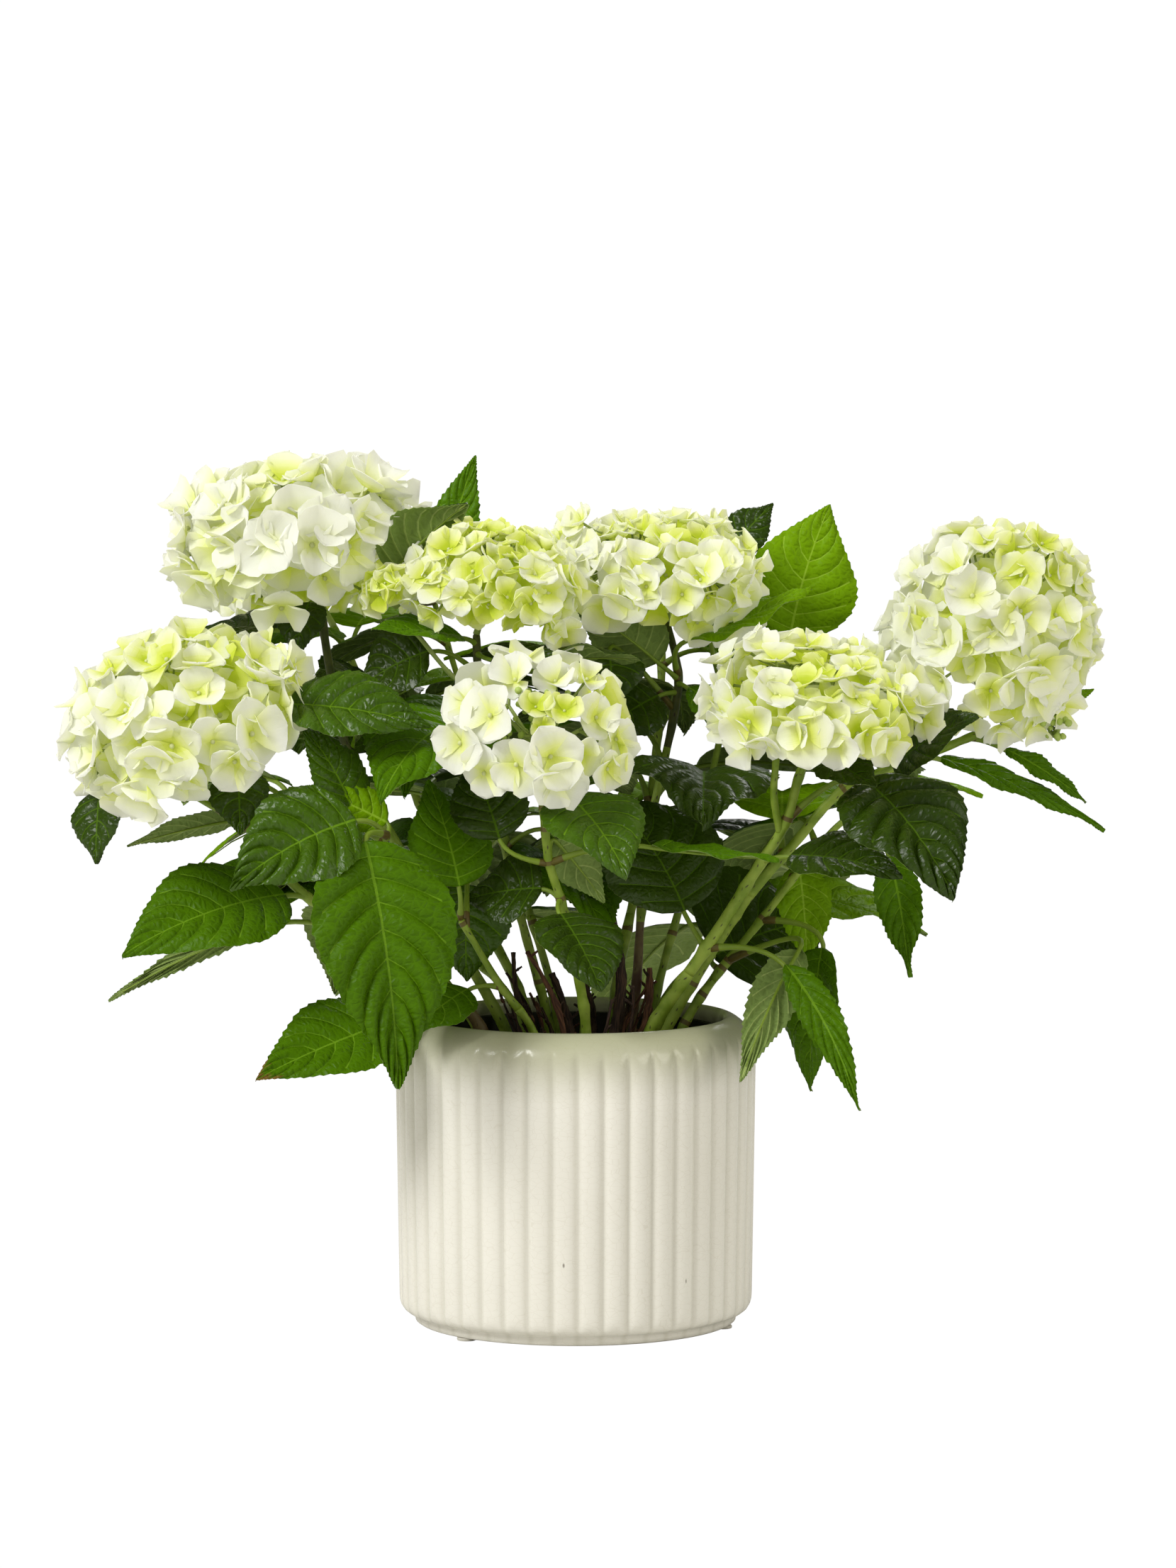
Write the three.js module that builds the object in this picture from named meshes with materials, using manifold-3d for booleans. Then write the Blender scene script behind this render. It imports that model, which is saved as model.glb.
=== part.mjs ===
// Potted hydrangea: a shrub with ten mop heads, grown in a reeded ceramic planter.
// Millimetres, +Z up. The origin is on the ground, under the middle of the planter.
// Seen from the front, along +Y, the right hand is +X.

import * as THREE from 'three';
import { mergeVertices } from 'three/addons/utils/BufferGeometryUtils.js';
import Module from 'manifold-3d';

const wasm = await Module();
wasm.setup();

// ---- Driving dimensions ------------------------------------------------------------------

const GAP = 0.3;                  // clear air between two pieces that meet

const POT_HEIGHT = 180;
const POT_RADIUS = 105;           // over the reeds, just under the shoulder
const POT_BASE_RADIUS = 103;      // over the reeds, just above the foot
const FOOT_RADIUS = 93.5;
const FOOT_HEIGHT = 7;
const SHOULDER_RISE = 20;         // from the top of the reeds to the rim
const LIP_RADIUS = 86;            // clear opening
const LIP_WIDTH = 6;
const WALL = 7;
const FLOOR = 12;
const REEDS = 44;
const REED_DEPTH = 2.8;
const FIRST_GROOVE = -89.3;       // heading of one groove, in degrees

const COMPOST_TOP = 152;          // the compost lies this high, below the rim

const LEAF_THICKNESS = 0.018;     // at the midrib, as a share of the leaf's length
const LEAF_FOLD = 0.16;           // how far the margins rise, as a share of the half width
const STALK_RADIUS = 1.7;
const FLORET_DEPTH = 0.9;         // depth of a floret's tube, as a share of its radius
const CORE_SHARE = 0.76;          // size of a head's core against the head
const HEAD_REACH = 118;           // degrees from a head's crown to its lowest florets

// The half width of a leaf along its length, from the stalk to the tip.
const LEAF_OUTLINE = [[0.125, 0.66], [0.375, 1], [0.75, 0.66]];

// Poses tried in turn by a leaf that would touch something: turn and lift, in degrees.
const FAN = [[0, 0], [7, 0], [-7, 0], [0, 8], [0, -8], [12, 10], [-12, 10], [12, -10], [-12, -10],
  [20, 0], [-20, 0], [0, 18], [0, -18], [26, 14], [-26, 14], [26, -14], [-26, -14], [38, 0], [-38, 0]];

// Each shoot: the bends of its line, the radius at the foot and at the tip, and `bare`, the
// share of its length that is a bare stem below its leaves. `side` is a side twig.
// A posed leaf: [place on the shoot, stalk heading, rise and length, blade heading, rise,
// bend, length, width, roll]. Headings turn from +X towards +Y. A place over 1 is on the side
// twig. A ruled whorl: [place, headings, length].
const SHOOTS = {
  left_tall: {
    line: [[-34, 14], [-46, 11, 180], [-98, 10, 268], [-132, 10, 332], [-142, 10, 378], [-149, 10, 424]],
    foot: 5.2, tip: 3.4, bare: 0.45,
    posed: [
      [0.94, -140, -5, 28, -170, -6, 20, 62, 52, -15],
      [0.93, -95, 5, 22, -82, -55, 30, 52, 40, 0],
    ],
    ruled: [[0.6, [110], 105], [0.78, [60, 205], 92]],
  },
  left_low: {
    line: [[-48, -10], [-58, -15, 179], [-80, -20, 202], [-159, -45, 258], [-193, -58, 304]],
    foot: 5.2, tip: 3.2, bare: 0.2,
    side: [[-116, -32, 230], [-112, -60, 262], [-106, -95, 294]],
    posed: [
      [0.97, -42, 44, 74, -11, 8, 15, 84, 62, 35],
      [0.93, 177, -2, 72, -113, -66, 20, 44, 50, 0],
      [0.96, 110, 0, 24, -174, -14, 10, 66, 42, 40],
      [0.69, -150, 12, 16, -150, -10, 35, 108, 72, -28],
      [0.5, 170, 5, 62, 180, -26, 15, 100, 42, 82],
      [1.98, -118, -4, 24, -62, -74, 26, 137, 78, 8],
      [1.97, -140, 26, 24, -157, -26, 25, 84, 66, -45],
      [1.95, 86, 57, 10, 180, 23, 10, 66, 40, 60],
      [0.28, -120, -16, 50, -148, -12, 10, 94, 42, -35],
    ],
    ruled: [[0.84, [95], 88]],
  },
  mid_left: {
    line: [[-13, 14], [-17, 10, 180], [-34, 0, 246], [-47, -10, 315], [-56, -18, 380], [-57, -20, 404]],
    foot: 4.2, tip: 3, bare: 0.35,
    posed: [
      [0.97, -150, 14, 12, -144, -3, 10, 40, 35, -20],
      [0.95, -56, -9, 16, -29, 12, -15, 40, 40, 30],
      [0.9, 180, 26, 32, -177, -28, 20, 45, 44, -50],
    ],
    ruled: [[0.5, [150, -25], 112], [0.7, [75, -120], 104], [0.84, [165, 10], 84]],
  },
  mid_right: {
    line: [[30, 16], [35, 15, 190], [38, 19, 235], [44, 25, 290], [57, 33, 350], [60, 36, 375], [53, 40, 408]],
    foot: 4.2, tip: 3, bare: 0.35,
    posed: [
      [0.86, -136, 42, 20, -159, 41, 15, 62, 45, 50],
      [0.79, -155, 40, 55, -83, -62, 30, 36, 38, 0],
      [0.83, -145, -4, 14, -153, -31, 20, 48, 46, -40],
      [0.85, -61, -6, 12, -23, -43, 30, 46, 28, 30],
      [0.87, -77, 24, 28, -3, 15, -15, 72, 42, 20],
    ],
    ruled: [[0.48, [95, -70], 114], [0.66, [10, 165], 106], [0.76, [70], 90]],
  },
  centre: {
    line: [[7, -34], [5, -40, 187], [-8, -62, 252], [-15, -72, 276], [-18, -84, 306], [-20, -91, 330]],
    foot: 4.6, tip: 3, bare: 0.42,
    posed: [
      [0.87, -55, 22, 26, -55, -36, 30, 72, 60, 10],
      [0.69, -172, 27, 32, 126, 54, 20, 56, 44, -30],
      [0.69, -17, 11, 62, -2, -7, 10, 72, 40, -75],
      [0.56, -90, -26, 18, -53, -47, 20, 64, 54, 0],
      [0.56, 169, 31, 13, 160, -10, 15, 48, 46, -50],
    ],
    ruled: [[0.8, [70], 80]],
  },
  right_front: {
    line: [[34, -18], [47, -25, 180], [74, -35, 221], [105, -45, 271], [120, -50, 296], [127, -55, 322],
      [134, -59, 340]],
    foot: 6, tip: 3.6, bare: 0.3,
    side: [[117, -49, 290], [113, -58, 312], [114, -66, 336]],
    posed: [
      [0.38, 133, 50, 27, 153, 53, 25, 84, 88, -25],
      [0.38, -29, -7, 52, -45, -54, 30, 98, 38, 66],
      [0.66, -34, 34, 23, -29, -7, 20, 72, 56, 20],
      [0.91, -50, 13, 18, -39, -25, 15, 42, 36, 25],
      [0.79, -18, 29, 52, -50, -39, 35, 98, 76, 15],
    ],
    ruled: [[0.58, [95], 108]],
  },
  right_far: {
    line: [[44, -2], [58, -5, 182], [98, -10, 247], [124, -12, 278], [155, -12, 312], [197, -5, 329],
      [236, 6, 344]],
    foot: 5, tip: 3.4, bare: 0.4,
    posed: [
      [0.85, 11, 2, 26, 5, -24, 15, 96, 36, 30],
      [0.97, 26, -18, 24, -2, -33, 15, 56, 26, 40],
      [0.97, 34, 10, 47, 16, 25, 5, 42, 22, 30],
      [0.72, -27, 33, 24, -29, 38, 15, 54, 48, 40],
    ],
    ruled: [[0.5, [110], 108], [0.68, [75, -95], 100], [0.84, [120], 88]],
  },
  back_left: {
    line: [[-22, 34], [-34, 44, 190], [-80, 80, 270], [-120, 112, 350], [-146, 128, 400]],
    foot: 4.6, tip: 3.2, bare: 0.32,
    ruled: [[0.4, [150, -20], 118], [0.58, [65, -115], 116], [0.76, [160, -15], 104], [0.92, [80, 230], 84]],
  },
  back_right: {
    line: [[20, 44], [24, 52, 190], [40, 85, 270], [50, 118, 345], [52, 138, 394]],
    foot: 4.6, tip: 3.2, bare: 0.32,
    ruled: [[0.4, [60, -150], 118], [0.58, [140, -30], 116], [0.76, [40, 190], 104], [0.92, [110, -10], 84]],
  },
  front_small: {
    line: [[-17, -44], [-26, -51, 180], [-42, -56, 202], [-66, -62, 243]],
    foot: 3.8, tip: 2.6, bare: 0.4,
    posed: [
      [1, -90, 72, 20, 129, 64, 15, 66, 52, -10],
      [0.93, 90, 46, 27, -104, -81, 15, 56, 54, 0],
      [0.55, -162, 0, 20, -142, -29, 15, 38, 36, -20],
    ],
  },
  right_leafy: {
    line: [[54, 12], [70, 16, 184], [110, 22, 235], [150, 24, 285], [168, 20, 300]],
    foot: 4.2, tip: 2.6, bare: 0.28,
    posed: [
      [1, -45, -53, 38, -34, -73, 20, 72, 48, 20],
      [0.67, 71, 26, 18, 34, -76, 20, 60, 44, 30],
      [0.52, -47, -42, 34, -152, -74, 15, 80, 54, 0],
      [0.36, -64, -4, 60, -107, -43, 20, 84, 40, 25],
      [0.32, 98, 45, 22, 38, 34, 20, 78, 80, 50],
    ],
    ruled: [[0.8, [100], 100], [1, [35], 92]],
  },
  left_back: {
    line: [[-50, 18], [-68, 28, 185], [-120, 52, 240], [-165, 70, 290]],
    foot: 4, tip: 2.6, bare: 0.3,
    ruled: [[0.45, [100, -100], 112], [0.7, [175, 30], 112], [1, [120, -165], 98]],
  },
  rear_left: {
    line: [[-8, 34], [-14, 40, 190], [-42, 56, 280], [-66, 66, 360], [-84, 70, 418]],
    foot: 4, tip: 2.4, bare: 0.3,
    posed: [[1, 60, 60, 22, 30, 70, 8, 62, 32, 60], [1, -150, 35, 18, 10, 40, 15, 62, 58, 50]],
    ruled: [[0.4, [115, -65], 112], [0.58, [30, 205], 112], [0.76, [110, -80], 100], [0.9, [160], 84]],
  },
  rear_right: {
    line: [[40, 34], [48, 40, 190], [70, 55, 270], [88, 64, 350], [98, 66, 392]],
    foot: 4, tip: 2.6, bare: 0.3,
    posed: [
      [1, 66, 18, 36, 10, 58, 15, 92, 80, 72],
      [0.86, 88, 76, 86, 21, 63, 8, 40, 28, 55],
    ],
    ruled: [[0.42, [15, 170], 116], [0.6, [85, -90], 112], [0.78, [10, 150], 98]],
  },
  low_left: {
    line: [[-28, 50], [-40, 62, 184], [-82, 106, 220], [-112, 148, 264]],
    foot: 3.6, tip: 2.4, bare: 0.34,
    ruled: [[0.5, [175, 40], 108], [0.74, [110, -140], 110], [1, [165, 60], 96]],
  },
  low_mid: {
    line: [[4, 58], [6, 72, 184], [12, 116, 226], [16, 156, 272]],
    foot: 3.6, tip: 2.4, bare: 0.34,
    ruled: [[0.5, [170, 20], 108], [0.74, [100, -80], 108], [1, [150, 35], 96]],
  },
  low_right: {
    line: [[42, 50], [54, 64, 184], [98, 106, 222], [128, 146, 268]],
    foot: 3.6, tip: 2.4, bare: 0.34,
    ruled: [[0.5, [0, 130], 108], [0.74, [60, -40], 110], [1, [105, 10], 96]],
  },
};

// Each head: the shoot that carries it, its middle, width and height, the heading and angle of
// its lean, and how many florets it has and their radius. The side head has a stalk of its own,
// from the twig of its bearer.
const HEADS = {
  side: { at: [-108, -38, 428], wide: 42, tall: 36, lean: [180, 30], florets: 4, radius: 14,
    bearer: 'mid_left', stalk: [[-54.5, -16.7, 368], [-70, -25, 378], [-90, -32, 402], [-102, -36, 416]] },
  left_tall: { at: [-160, 10, 459], wide: 156, tall: 102, lean: [195, 16], florets: 16, radius: 22 },
  left_low: { at: [-220, -60, 356], wide: 148, tall: 114, lean: [215, 24], florets: 16, radius: 22 },
  mid_left: { at: [-49, -20, 436], wide: 112, tall: 76, lean: [-60, 8], florets: 12, radius: 18 },
  mid_right: { at: [54, 40, 442], wide: 130, tall: 80, lean: [-90, 8], florets: 13, radius: 20 },
  centre: { at: [-21, -110, 352], wide: 116, tall: 70, lean: [-90, 46], florets: 11, radius: 21 },
  right_front: { at: [143, -60, 370], wide: 146, tall: 80, lean: [-60, 20], florets: 14, radius: 20 },
  right_far: { at: [242, 10, 404], wide: 126, tall: 138, lean: [-30, 25], florets: 16, radius: 21 },
  back_left: { at: [-160, 138, 432], wide: 108, tall: 76, lean: [120, 20], florets: 11, radius: 19 },
  back_right: { at: [52, 150, 424], wide: 104, tall: 74, lean: [80, 15], florets: 11, radius: 19 },
};

// Old stems cut back to the wood: foot, top and radius.
const STUBS = [
  [[-17, 2], [-36, 2, 216], 2.4],
  [[-5, -15], [-28, -12, 218], 2.2],
  [[-3, 2], [-14, 8, 203], 4],
  [[18, -8], [17, -5, 250], 5.4],
  [[31, 3], [43, 9, 206], 4],
  [[8, 22], [4, 26, 198], 4],
];

// ---- Solids ------------------------------------------------------------------------------

const degrees = THREE.MathUtils.degToRad;
const vector = (values) => new THREE.Vector3(...values);

// A repeatable number from 0 to 1 for each seed.
function chance(seed) {
  const wave = Math.sin(seed * 12.9898) * 43758.5453;
  return wave - Math.floor(wave);
}

// A direction from its heading and its rise, in degrees.
function direction(heading, rise) {
  const level = Math.cos(degrees(rise));
  return vector([level * Math.cos(degrees(heading)), level * Math.sin(degrees(heading)), Math.sin(degrees(rise))]);
}

// A closed solid from a three.js geometry, its shared vertices merged.
function toSolid(geometry) {
  const bare = geometry.clone();
  bare.deleteAttribute('normal');
  bare.deleteAttribute('uv');
  const merged = mergeVertices(bare, 1e-4);
  const corners = [];
  for (let first = 0; first < merged.index.count; first += 3) {
    const [a, b, c] = [0, 1, 2].map((step) => merged.index.getX(first + step));
    if (a !== b && b !== c && c !== a) {
      corners.push(a, b, c);
    }
  }
  return new wasm.Manifold(new wasm.Mesh({
    numProp: 3,
    vertProperties: new Float32Array(merged.attributes.position.array),
    triVerts: new Uint32Array(corners),
  }));
}

function toGeometry(solid) {
  const mesh = solid.getMesh();
  const geometry = new THREE.BufferGeometry();
  geometry.setAttribute('position', new THREE.BufferAttribute(new Float32Array(mesh.vertProperties), 3));
  geometry.setIndex(new THREE.BufferAttribute(new Uint32Array(mesh.triVerts), 1));
  return geometry;
}

// A closed skin over rings of points that run anticlockwise about the way they are strung.
// A ring of one point is a tip, and an end ring of several points is closed flat.
function skin(rings) {
  const points = rings.flat();
  const corners = [];
  let start = 0;
  rings.slice(0, -1).forEach((ring, index) => {
    const above = rings[index + 1].length;
    const sides = Math.max(ring.length, above);
    const upper = start + ring.length;
    for (let side = 0; side < sides; side += 1) {
      const next = (side + 1) % sides;
      const a = start + (side % ring.length);
      const b = start + (next % ring.length);
      const c = upper + (next % above);
      const d = upper + (side % above);
      if (ring.length > 1) {
        corners.push(a, b, c);
      }
      if (above > 1) {
        corners.push(a, c, d);
      }
    }
    start = upper;
  });
  for (let side = 1; side + 1 < rings[0].length; side += 1) {
    corners.push(0, side + 1, side);
  }
  for (let side = 1; side + 1 < rings.at(-1).length; side += 1) {
    corners.push(start, start + side, start + side + 1);
  }
  const geometry = new THREE.BufferGeometry();
  geometry.setAttribute('position', new THREE.Float32BufferAttribute(points.flatMap((point) => point.toArray()), 3));
  geometry.setIndex(corners);
  return toSolid(geometry);
}

// Two directions square to a third: the first lies nearest to `up`.
function across(along, up) {
  const first = up.clone().addScaledVector(along, -up.dot(along)).normalize();
  return [first, along.clone().cross(first)];
}

// The world axis that a line runs along least.
function steadyAxis(chord) {
  const shares = chord.toArray().map(Math.abs);
  const axis = shares.indexOf(Math.min(...shares));
  return new THREE.Vector3().setComponent(axis, 1);
}

// A tapering limb along part of a curve. A limb that stands on the compost is cut level there.
function limb(curve, { from = 0, to = 1, thick, thin, sides = 5, steps = 4, level = false }) {
  const steady = steadyAxis(curve.getPointAt(to).sub(curve.getPointAt(from)));
  const rings = [];
  for (let step = 0; step <= steps; step += 1) {
    const share = step / steps;
    const place = from + (to - from) * share;
    const along = level && step === 0 ? vector([0, 0, 1]) : curve.getTangentAt(place);
    const [first, second] = across(along, steady);
    const radius = thick + (thin - thick) * share;
    rings.push(Array.from({ length: sides }, (_, side) => {
      const angle = 2 * Math.PI * side / sides;
      return curve.getPointAt(place)
        .addScaledVector(first, radius * Math.cos(angle))
        .addScaledVector(second, radius * Math.sin(angle));
    }));
  }
  return skin(rings);
}

// ---- Planter and compost -----------------------------------------------------------------

// Turns a profile of [radius, height] about the Z axis.
function turned(profile, segments) {
  const points = profile.map(([radius, height]) => new THREE.Vector2(radius, height));
  const geometry = new THREE.LatheGeometry(points, segments);
  geometry.rotateX(Math.PI / 2);
  geometry.rotateZ(degrees(FIRST_GROOVE + 90));
  return geometry;
}

function planter() {
  const reedTop = POT_HEIGHT - SHOULDER_RISE;
  const outside = turned([
    [0, 0], [FOOT_RADIUS, 0], [FOOT_RADIUS, FOOT_HEIGHT],
    [POT_BASE_RADIUS - 4, FOOT_HEIGHT + 2], [POT_BASE_RADIUS, FOOT_HEIGHT + 10], [POT_RADIUS, reedTop],
    [POT_RADIUS - 2.5, reedTop + 9], [POT_RADIUS - 8, reedTop + 16],
    [LIP_RADIUS + LIP_WIDTH, POT_HEIGHT], [0, POT_HEIGHT],
  ], 2 * REEDS);
  // Every second meridian is pressed in between the foot and the shoulder: a groove.
  const place = outside.attributes.position;
  const corner = new THREE.Vector3();
  for (let index = 0; index < place.count; index += 1) {
    corner.fromBufferAttribute(place, index);
    const radius = Math.hypot(corner.x, corner.y);
    const heading = Math.atan2(corner.y, corner.x) - degrees(FIRST_GROOVE);
    const onReed = Math.abs(Math.round(heading * REEDS / Math.PI)) % 2 === 1;
    if (!onReed && corner.z > FOOT_HEIGHT + 4 && corner.z <= reedTop + 1) {
      const narrower = (radius - REED_DEPTH) / radius;
      place.setXYZ(index, corner.x * narrower, corner.y * narrower, corner.z);
    }
  }
  const inner = POT_RADIUS - WALL;
  const hollow = turned([
    [0, FLOOR], [inner - 3, FLOOR], [inner, FLOOR + 6], [inner, reedTop - 4], [LIP_RADIUS, POT_HEIGHT - 9],
    [LIP_RADIUS, POT_HEIGHT - 2], [LIP_RADIUS + 2, POT_HEIGHT + 1], [0, POT_HEIGHT + 1],
  ], REEDS);
  return toSolid(outside).subtract(toSolid(hollow));
}

function compost() {
  const radius = POT_RADIUS - WALL - 2;
  return toSolid(turned([
    [0, FLOOR + GAP], [radius - 3, FLOOR + GAP], [radius, FLOOR + 8],
    [radius, COMPOST_TOP - 3], [radius - 3, COMPOST_TOP], [0, COMPOST_TOP],
  ], REEDS / 2));
}

// ---- Leaves ------------------------------------------------------------------------------

// The line of a blade: its start, its pitch at a share of its length, and points along it.
function bladeLine(start, leaf) {
  const pitch = (share) => leaf.rise + leaf.bend * (0.5 - share);
  const steps = 24;
  const points = [start.clone()];
  for (let step = 0; step < steps; step += 1) {
    const way = direction(leaf.heading, pitch((step + 0.5) / steps));
    points.push(points.at(-1).clone().addScaledVector(way, leaf.long / steps));
  }
  const at = (share) => points[Math.round(share * steps)].clone();
  return { pitch, at };
}

// A blade: a folded, pointed solid, thickest along its midrib. `shift` moves it square to itself.
function blade(start, leaf, shift = 0) {
  const line = bladeLine(start, leaf);
  const half = leaf.long * LEAF_THICKNESS / 2;
  const lift = direction(leaf.heading, leaf.rise + 90).multiplyScalar(shift);
  const rings = [[line.at(0)]];
  LEAF_OUTLINE.forEach(([share, breadth]) => {
    const station = Math.round(share * 24) / 24;
    const along = direction(leaf.heading, line.pitch(station));
    const [up, side] = across(along, direction(leaf.heading, line.pitch(station) + 90));
    up.applyAxisAngle(along, degrees(leaf.roll));
    side.applyAxisAngle(along, degrees(leaf.roll));
    const reach = leaf.wide / 2 * breadth;
    const middle = line.at(station);
    rings.push([
      middle.clone().addScaledVector(up, half),
      middle.clone().addScaledVector(side, reach).addScaledVector(up, reach * LEAF_FOLD),
      middle.clone().addScaledVector(up, -half),
      middle.clone().addScaledVector(side, -reach).addScaledVector(up, reach * LEAF_FOLD),
    ]);
  });
  rings.push([line.at(1)]);
  return skin(rings.map((ring) => ring.map((point) => point.add(lift))));
}

// A leaf stalk, from inside the twig to under the blade's midrib.
function stalk(root, start, leaf) {
  const into = direction(leaf.heading, leaf.rise + leaf.bend / 2);
  const reach = start.distanceTo(root);
  const curve = new THREE.QuadraticBezierCurve3(
    root,
    start.clone().addScaledVector(into, -0.4 * reach),
    start.clone().addScaledVector(into, 0.1 * leaf.long),
  );
  return limb(curve, { thick: STALK_RADIUS, thin: STALK_RADIUS * 0.6, sides: 3, steps: 2 });
}

// ---- Flower heads ------------------------------------------------------------------------

// A head's own frame: its crown direction and two directions square to it.
function headFrame(head) {
  const crown = direction(head.lean[0], 90 - head.lean[1]);
  const [first, second] = across(crown, vector([0, 1, 0]));
  return { crown, first, second };
}

// One floret: a shallow star of four petals on a pointed tube that goes into the core.
function floret(head, index) {
  const { crown, first, second } = headFrame(head);
  const lowest = Math.cos(degrees(HEAD_REACH));
  const fall = Math.acos(1 - (1 - lowest) * (index + 0.5) / head.florets);
  const turn = index * Math.PI * (3 - Math.sqrt(5));
  const level = head.wide / 2 - 6;
  const upright = head.tall / 2 - 5;
  const way = first.clone().multiplyScalar(Math.cos(turn)).addScaledVector(second, Math.sin(turn));
  const middle = vector(head.at)
    .addScaledVector(way, level * Math.sin(fall))
    .addScaledVector(crown, upright * Math.cos(fall));
  const outward = way.multiplyScalar(Math.sin(fall) / level).addScaledVector(crown, Math.cos(fall) / upright);
  outward.normalize();
  const [left, right] = across(outward, steadyAxis(outward));
  const spin = 2 * Math.PI * chance(index + head.wide);
  const petals = Array.from({ length: 8 }, (_, point) => {
    const angle = spin + point * Math.PI / 4;
    const reach = head.radius * (point % 2 ? 0.7 : 1);
    return middle.clone()
      .addScaledVector(left, reach * Math.cos(angle))
      .addScaledVector(right, reach * Math.sin(angle))
      .addScaledVector(outward, point % 2 ? -1 : 2);
  });
  const throat = middle.clone().addScaledVector(outward, -2);
  const root = middle.clone().addScaledVector(outward, -FLORET_DEPTH * head.radius);
  return skin([[root], petals, [throat]]);
}

function headCore(head) {
  const { crown } = headFrame(head);
  const core = new THREE.SphereGeometry(1, 7, 4);
  core.rotateX(Math.PI / 2);
  core.scale(head.wide / 2 * CORE_SHARE, head.wide / 2 * CORE_SHARE, head.tall / 2 * CORE_SHARE);
  core.applyQuaternion(new THREE.Quaternion().setFromUnitVectors(vector([0, 0, 1]), crown));
  core.translate(...head.at);
  return toSolid(core);
}

// ---- Growing the plant -------------------------------------------------------------------

const grown = [];                 // every solid that a later piece has to keep clear of

function remember(owner, solid) {
  grown.push({ owner, solid, box: solid.boundingBox() });
}

function boxesMeet(one, other) {
  return [0, 1, 2].every((axis) => one.min[axis] <= other.max[axis] && other.min[axis] <= one.max[axis]);
}

// Whether a solid touches nothing that is grown, apart from the pieces of the owners left out.
function isClear(solid, leftOut = []) {
  const box = solid.boundingBox();
  return grown.every((other) => leftOut.includes(other.owner) || !boxesMeet(box, other.box)
    || solid.intersect(other.solid).isEmpty());
}

function shootCurve(shoot) {
  const points = shoot.line.map((point) => vector([point[0], point[1], point[2] ?? COMPOST_TOP + GAP]));
  return new THREE.CatmullRomCurve3(points);
}

// The room round a shoot's twig and just past its tip, cut out of the head that it carries.
function sleeve(shoot) {
  const curve = shootCurve(shoot);
  const onward = curve.getTangentAt(1).multiplyScalar(GAP);
  const fork = shoot.foot + (shoot.tip - shoot.foot) * shoot.bare;
  return limb(curve, { from: shoot.bare, thick: fork + 2 * GAP, thin: shoot.tip + 2 * GAP }).translate(onward.toArray());
}

// Where a leaf of a shoot grows from: a place over 1 is on the side twig.
function rootPlace(shoot, place) {
  if (place > 1) {
    return new THREE.CatmullRomCurve3(shoot.side.map(vector)).getPointAt(place - 1);
  }
  return shootCurve(shoot).getPointAt(Math.min(place, 0.995));
}

// All leaves of a shoot before they are fitted: the posed ones, then the ruled whorls.
function leavesOf(shoot, number) {
  const posed = (shoot.posed ?? []).map(([place, away, climb, reach, heading, rise, bend, long, wide, roll]) => (
    { place, away, climb, reach, heading, rise, bend, long, wide, roll }));
  const ruled = (shoot.ruled ?? []).flatMap(([place, headings, length], whorl) => headings.map((way, side) => {
    const seed = number * 100 + whorl * 10 + side;
    const heading = way + 24 * (chance(seed) - 0.5);
    const long = length * (0.9 + 0.2 * chance(seed + 0.1));
    return {
      place, away: heading, climb: 25 + 25 * chance(seed + 0.2), reach: 0.3 * long, heading,
      rise: 26 * place - 34 + 24 * (chance(seed + 0.3) - 0.5), bend: 30 + 30 * chance(seed + 0.4),
      long, wide: long * (0.6 + 0.12 * chance(seed + 0.5)), roll: 40 * (chance(seed + 0.6) - 0.5),
    };
  }));
  return { posed, ruled };
}

// Fits a leaf: the first pose of the fan that touches nothing, or none.
function fitLeaf(name, shoot, leaf) {
  const root = rootPlace(shoot, leaf.place);
  for (const [turn, lift] of FAN) {
    const pose = { ...leaf, heading: leaf.heading + turn, rise: leaf.rise + lift };
    const start = root.clone().addScaledVector(direction(leaf.away + turn, leaf.climb + lift), leaf.reach);
    const sides = [-2 * GAP, 2 * GAP].map((shift) => blade(start, pose, shift));
    const stem = stalk(root, start, pose);
    if (sides.every((solid) => isClear(solid)) && isClear(stem, [name])) {
      remember(`${name} leaf`, blade(start, pose));
      remember(name, stem);
      return [blade(start, pose), stem];
    }
  }
  return [];
}

const names = Object.keys(SHOOTS);
const stems = {};
const masses = {};
const blossoms = {};

const pot = planter();
const soil = compost();
remember('pot', pot);

// Bare stems, and the twigs that carry the leaves, a gap further on.
names.forEach((name) => {
  const shoot = SHOOTS[name];
  const curve = shootCurve(shoot);
  const share = GAP / curve.getLength();
  const fork = shoot.foot + (shoot.tip - shoot.foot) * shoot.bare;
  stems[name] = limb(curve, { to: shoot.bare, thick: shoot.foot, thin: fork, steps: 4, level: true });
  masses[name] = [limb(curve, { from: shoot.bare + share, thick: fork, thin: shoot.tip })];
  if (shoot.side) {
    const side = new THREE.CatmullRomCurve3(shoot.side.map(vector));
    masses[name].push(limb(side, { thick: shoot.tip, thin: shoot.tip * 0.75, steps: 3 }));
  }
  remember(name, stems[name]);
  masses[name].forEach((solid) => remember(name, solid));
});

const stubs = STUBS.map(([foot, top, radius]) => {
  const line = [[...foot, COMPOST_TOP + GAP], top].map(vector);
  const stub = limb(new THREE.LineCurve3(...line), { thick: radius, thin: radius * 0.75, steps: 1, level: true });
  remember('stub', stub);
  return stub;
});

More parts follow.
